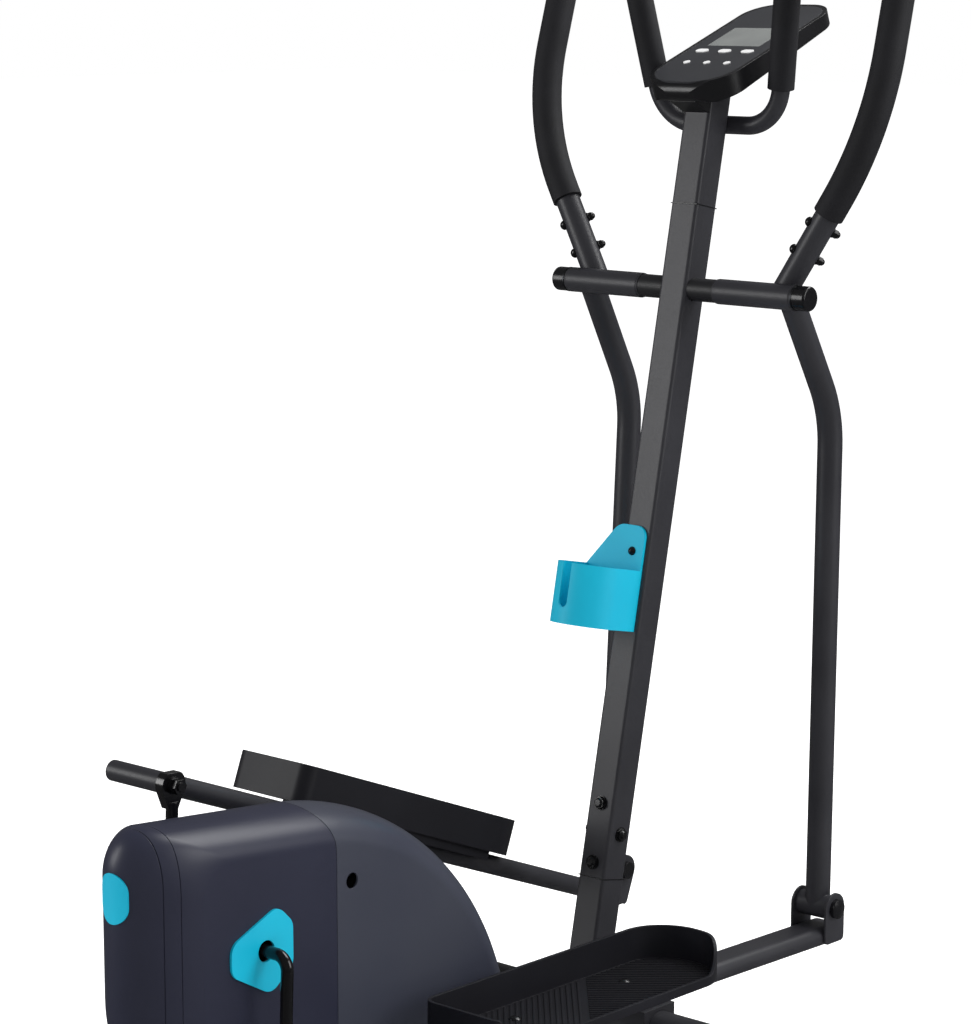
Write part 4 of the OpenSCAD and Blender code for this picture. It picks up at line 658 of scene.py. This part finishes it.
def joint_line(name, height):
    """A thin dark band round the mast at a height on its middle line."""
    along = (height - MAST_PIVOT_Z) / math.cos(MAST_LEAN)
    out = MAST_HALF + LINE_OUT
    points = []
    for s in (along - LINE_HIGH / 2, along + LINE_HIGH / 2):
        for d, y in ((-out, -out), (out, -out), (out, out), (-out, out)):
            points.append((MAST_X + d * math.cos(MAST_LEAN) + s * math.sin(MAST_LEAN), y,
                           MAST_PIVOT_Z - d * math.sin(MAST_LEAN) + s * math.cos(MAST_LEAN)))
    band = new_piece(name, points, BLOCK_FACES, cap_plastic)
    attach(band, "frame")
    print(name, "at", height, "mm")


joint_line("lower_mast_joint_line", LOWER_JOINT_Z)
joint_line("upper_mast_joint_line", UPPER_JOINT_Z)

# %% [markdown]
# ## Floor
# A pale product picture needs a white ground that still catches the shadow. The floor is near white, and a
# glow that only the camera sees lifts it to white without lighting the trainer. Reflections see a darker
# paint through Light Path, because a white room on every side would turn dark paint to grey. A Mix node
# for colours has its factor at socket 0, its two colours at 6 and 7, and its result at output 2.

# %% Floor
FLOOR_PAINT, FLOOR_IN_REFLECTIONS, FLOOR_ROUGH = "#f4f4f4", "#4a4a4a", 0.9
FLOOR_GLOW = 0.62
FLOOR_SIZE, FLOOR_DROP = 60, 0.0005
WHITE = (1, 1, 1, 1)


def white_ground():
    """A matt white floor, whose glow is for the camera alone."""
    made = bpy.data.materials.new("studio_floor")
    made.use_nodes = True
    tree = made.node_tree
    shader = tree.nodes["Principled BSDF"]
    shader.inputs["Roughness"].default_value = FLOOR_ROUGH
    path = add(tree, "ShaderNodeLightPath")
    paint = add(tree, "ShaderNodeMix", {0: path.outputs["Is Glossy Ray"], 6: linear(FLOOR_PAINT),
                                        7: linear(FLOOR_IN_REFLECTIONS)}, data_type="RGBA")
    tree.links.new(paint.outputs[2], shader.inputs["Base Color"])
    glow = add(tree, "ShaderNodeEmission", {"Color": WHITE, "Strength": FLOOR_GLOW})
    none = add(tree, "ShaderNodeEmission", {"Color": WHITE, "Strength": 0.0})
    mixed = add(tree, "ShaderNodeMixShader", {0: path.outputs["Is Camera Ray"], 1: none.outputs[0],
                                              2: glow.outputs[0]})
    both = add(tree, "ShaderNodeAddShader", {0: shader.outputs[0], 1: mixed.outputs[0]})
    tree.links.new(both.outputs[0], tree.nodes["Material Output"].inputs["Surface"])
    return made


bpy.ops.mesh.primitive_plane_add(size=FLOOR_SIZE, location=(0, 0, -FLOOR_DROP))
floor = bpy.context.object
floor.name = "studio_floor"
floor.data.materials.append(white_ground())
print("floor", FLOOR_SIZE, "m wide,", FLOOR_DROP / MM, "mm under the feet")

# %% [markdown]
# ## World
# The world is the white backdrop. It is fully white to the camera and through glass, lights the trainer from
# all round at a lower level, and is dim in reflections, as the far walls of a studio are.

# %% World
BACKDROP, AROUND, IN_REFLECTIONS = 1.0, 0.6, 0.12

world = bpy.data.worlds.new("studio")
bpy.context.scene.world = world
world.use_nodes = True
sky = world.node_tree
path = add(sky, "ShaderNodeLightPath")
seen = add(sky, "ShaderNodeMath", {0: path.outputs["Is Camera Ray"], 1: path.outputs["Is Transmission Ray"]},
           operation="MAXIMUM")
around = add(sky, "ShaderNodeMapRange", {
    "Value": path.outputs["Is Glossy Ray"], "To Min": AROUND, "To Max": IN_REFLECTIONS})
strength = add(sky, "ShaderNodeMapRange", {
    "Value": seen.outputs[0], "To Min": around.outputs["Result"], "To Max": BACKDROP})
back = sky.nodes["Background"]
back.inputs["Color"].default_value = WHITE
sky.links.new(strength.outputs["Result"], back.inputs["Strength"])
print("world levels:", BACKDROP, AROUND, IN_REFLECTIONS)

# %% [markdown]
# ## Lamps
# Three large soft boxes stand around the trainer: one overhead in front, which draws the highlights on the
# tops, one at the left rear and one at the right. Each is given in metres: where it stands, where it
# points, and its width and height. A large lamp gives wide highlights and soft shadows.

# %% Lamps
def soft_box(name, where, aim, size, watts):
    """A rectangular lamp that points at aim."""
    lamp = bpy.data.lights.new(name, "AREA")
    lamp.shape = "RECTANGLE"
    lamp.size, lamp.size_y = size
    lamp.energy = watts
    holder = bpy.data.objects.new(name, lamp)
    holder.location = where
    holder.rotation_euler = (Vector(aim) - Vector(where)).to_track_quat("-Z", "Y").to_euler()
    bpy.context.scene.collection.objects.link(holder)
    print(name, watts, "W")


soft_box("overhead_box", where=(1.6, -0.6, 3.0), aim=(-0.2, 0, 0.5), size=(2.0, 1.6), watts=68)
soft_box("left_box", where=(-2.8, 2.5, 1.6), aim=(0, 0, 0.9), size=(1.0, 2.0), watts=40)
soft_box("right_box", where=(1.2, -3.0, 1.8), aim=(0.2, 0, 0.7), size=(1.4, 2.0), watts=36)

bpy.context.scene.view_settings.view_transform = "Standard"
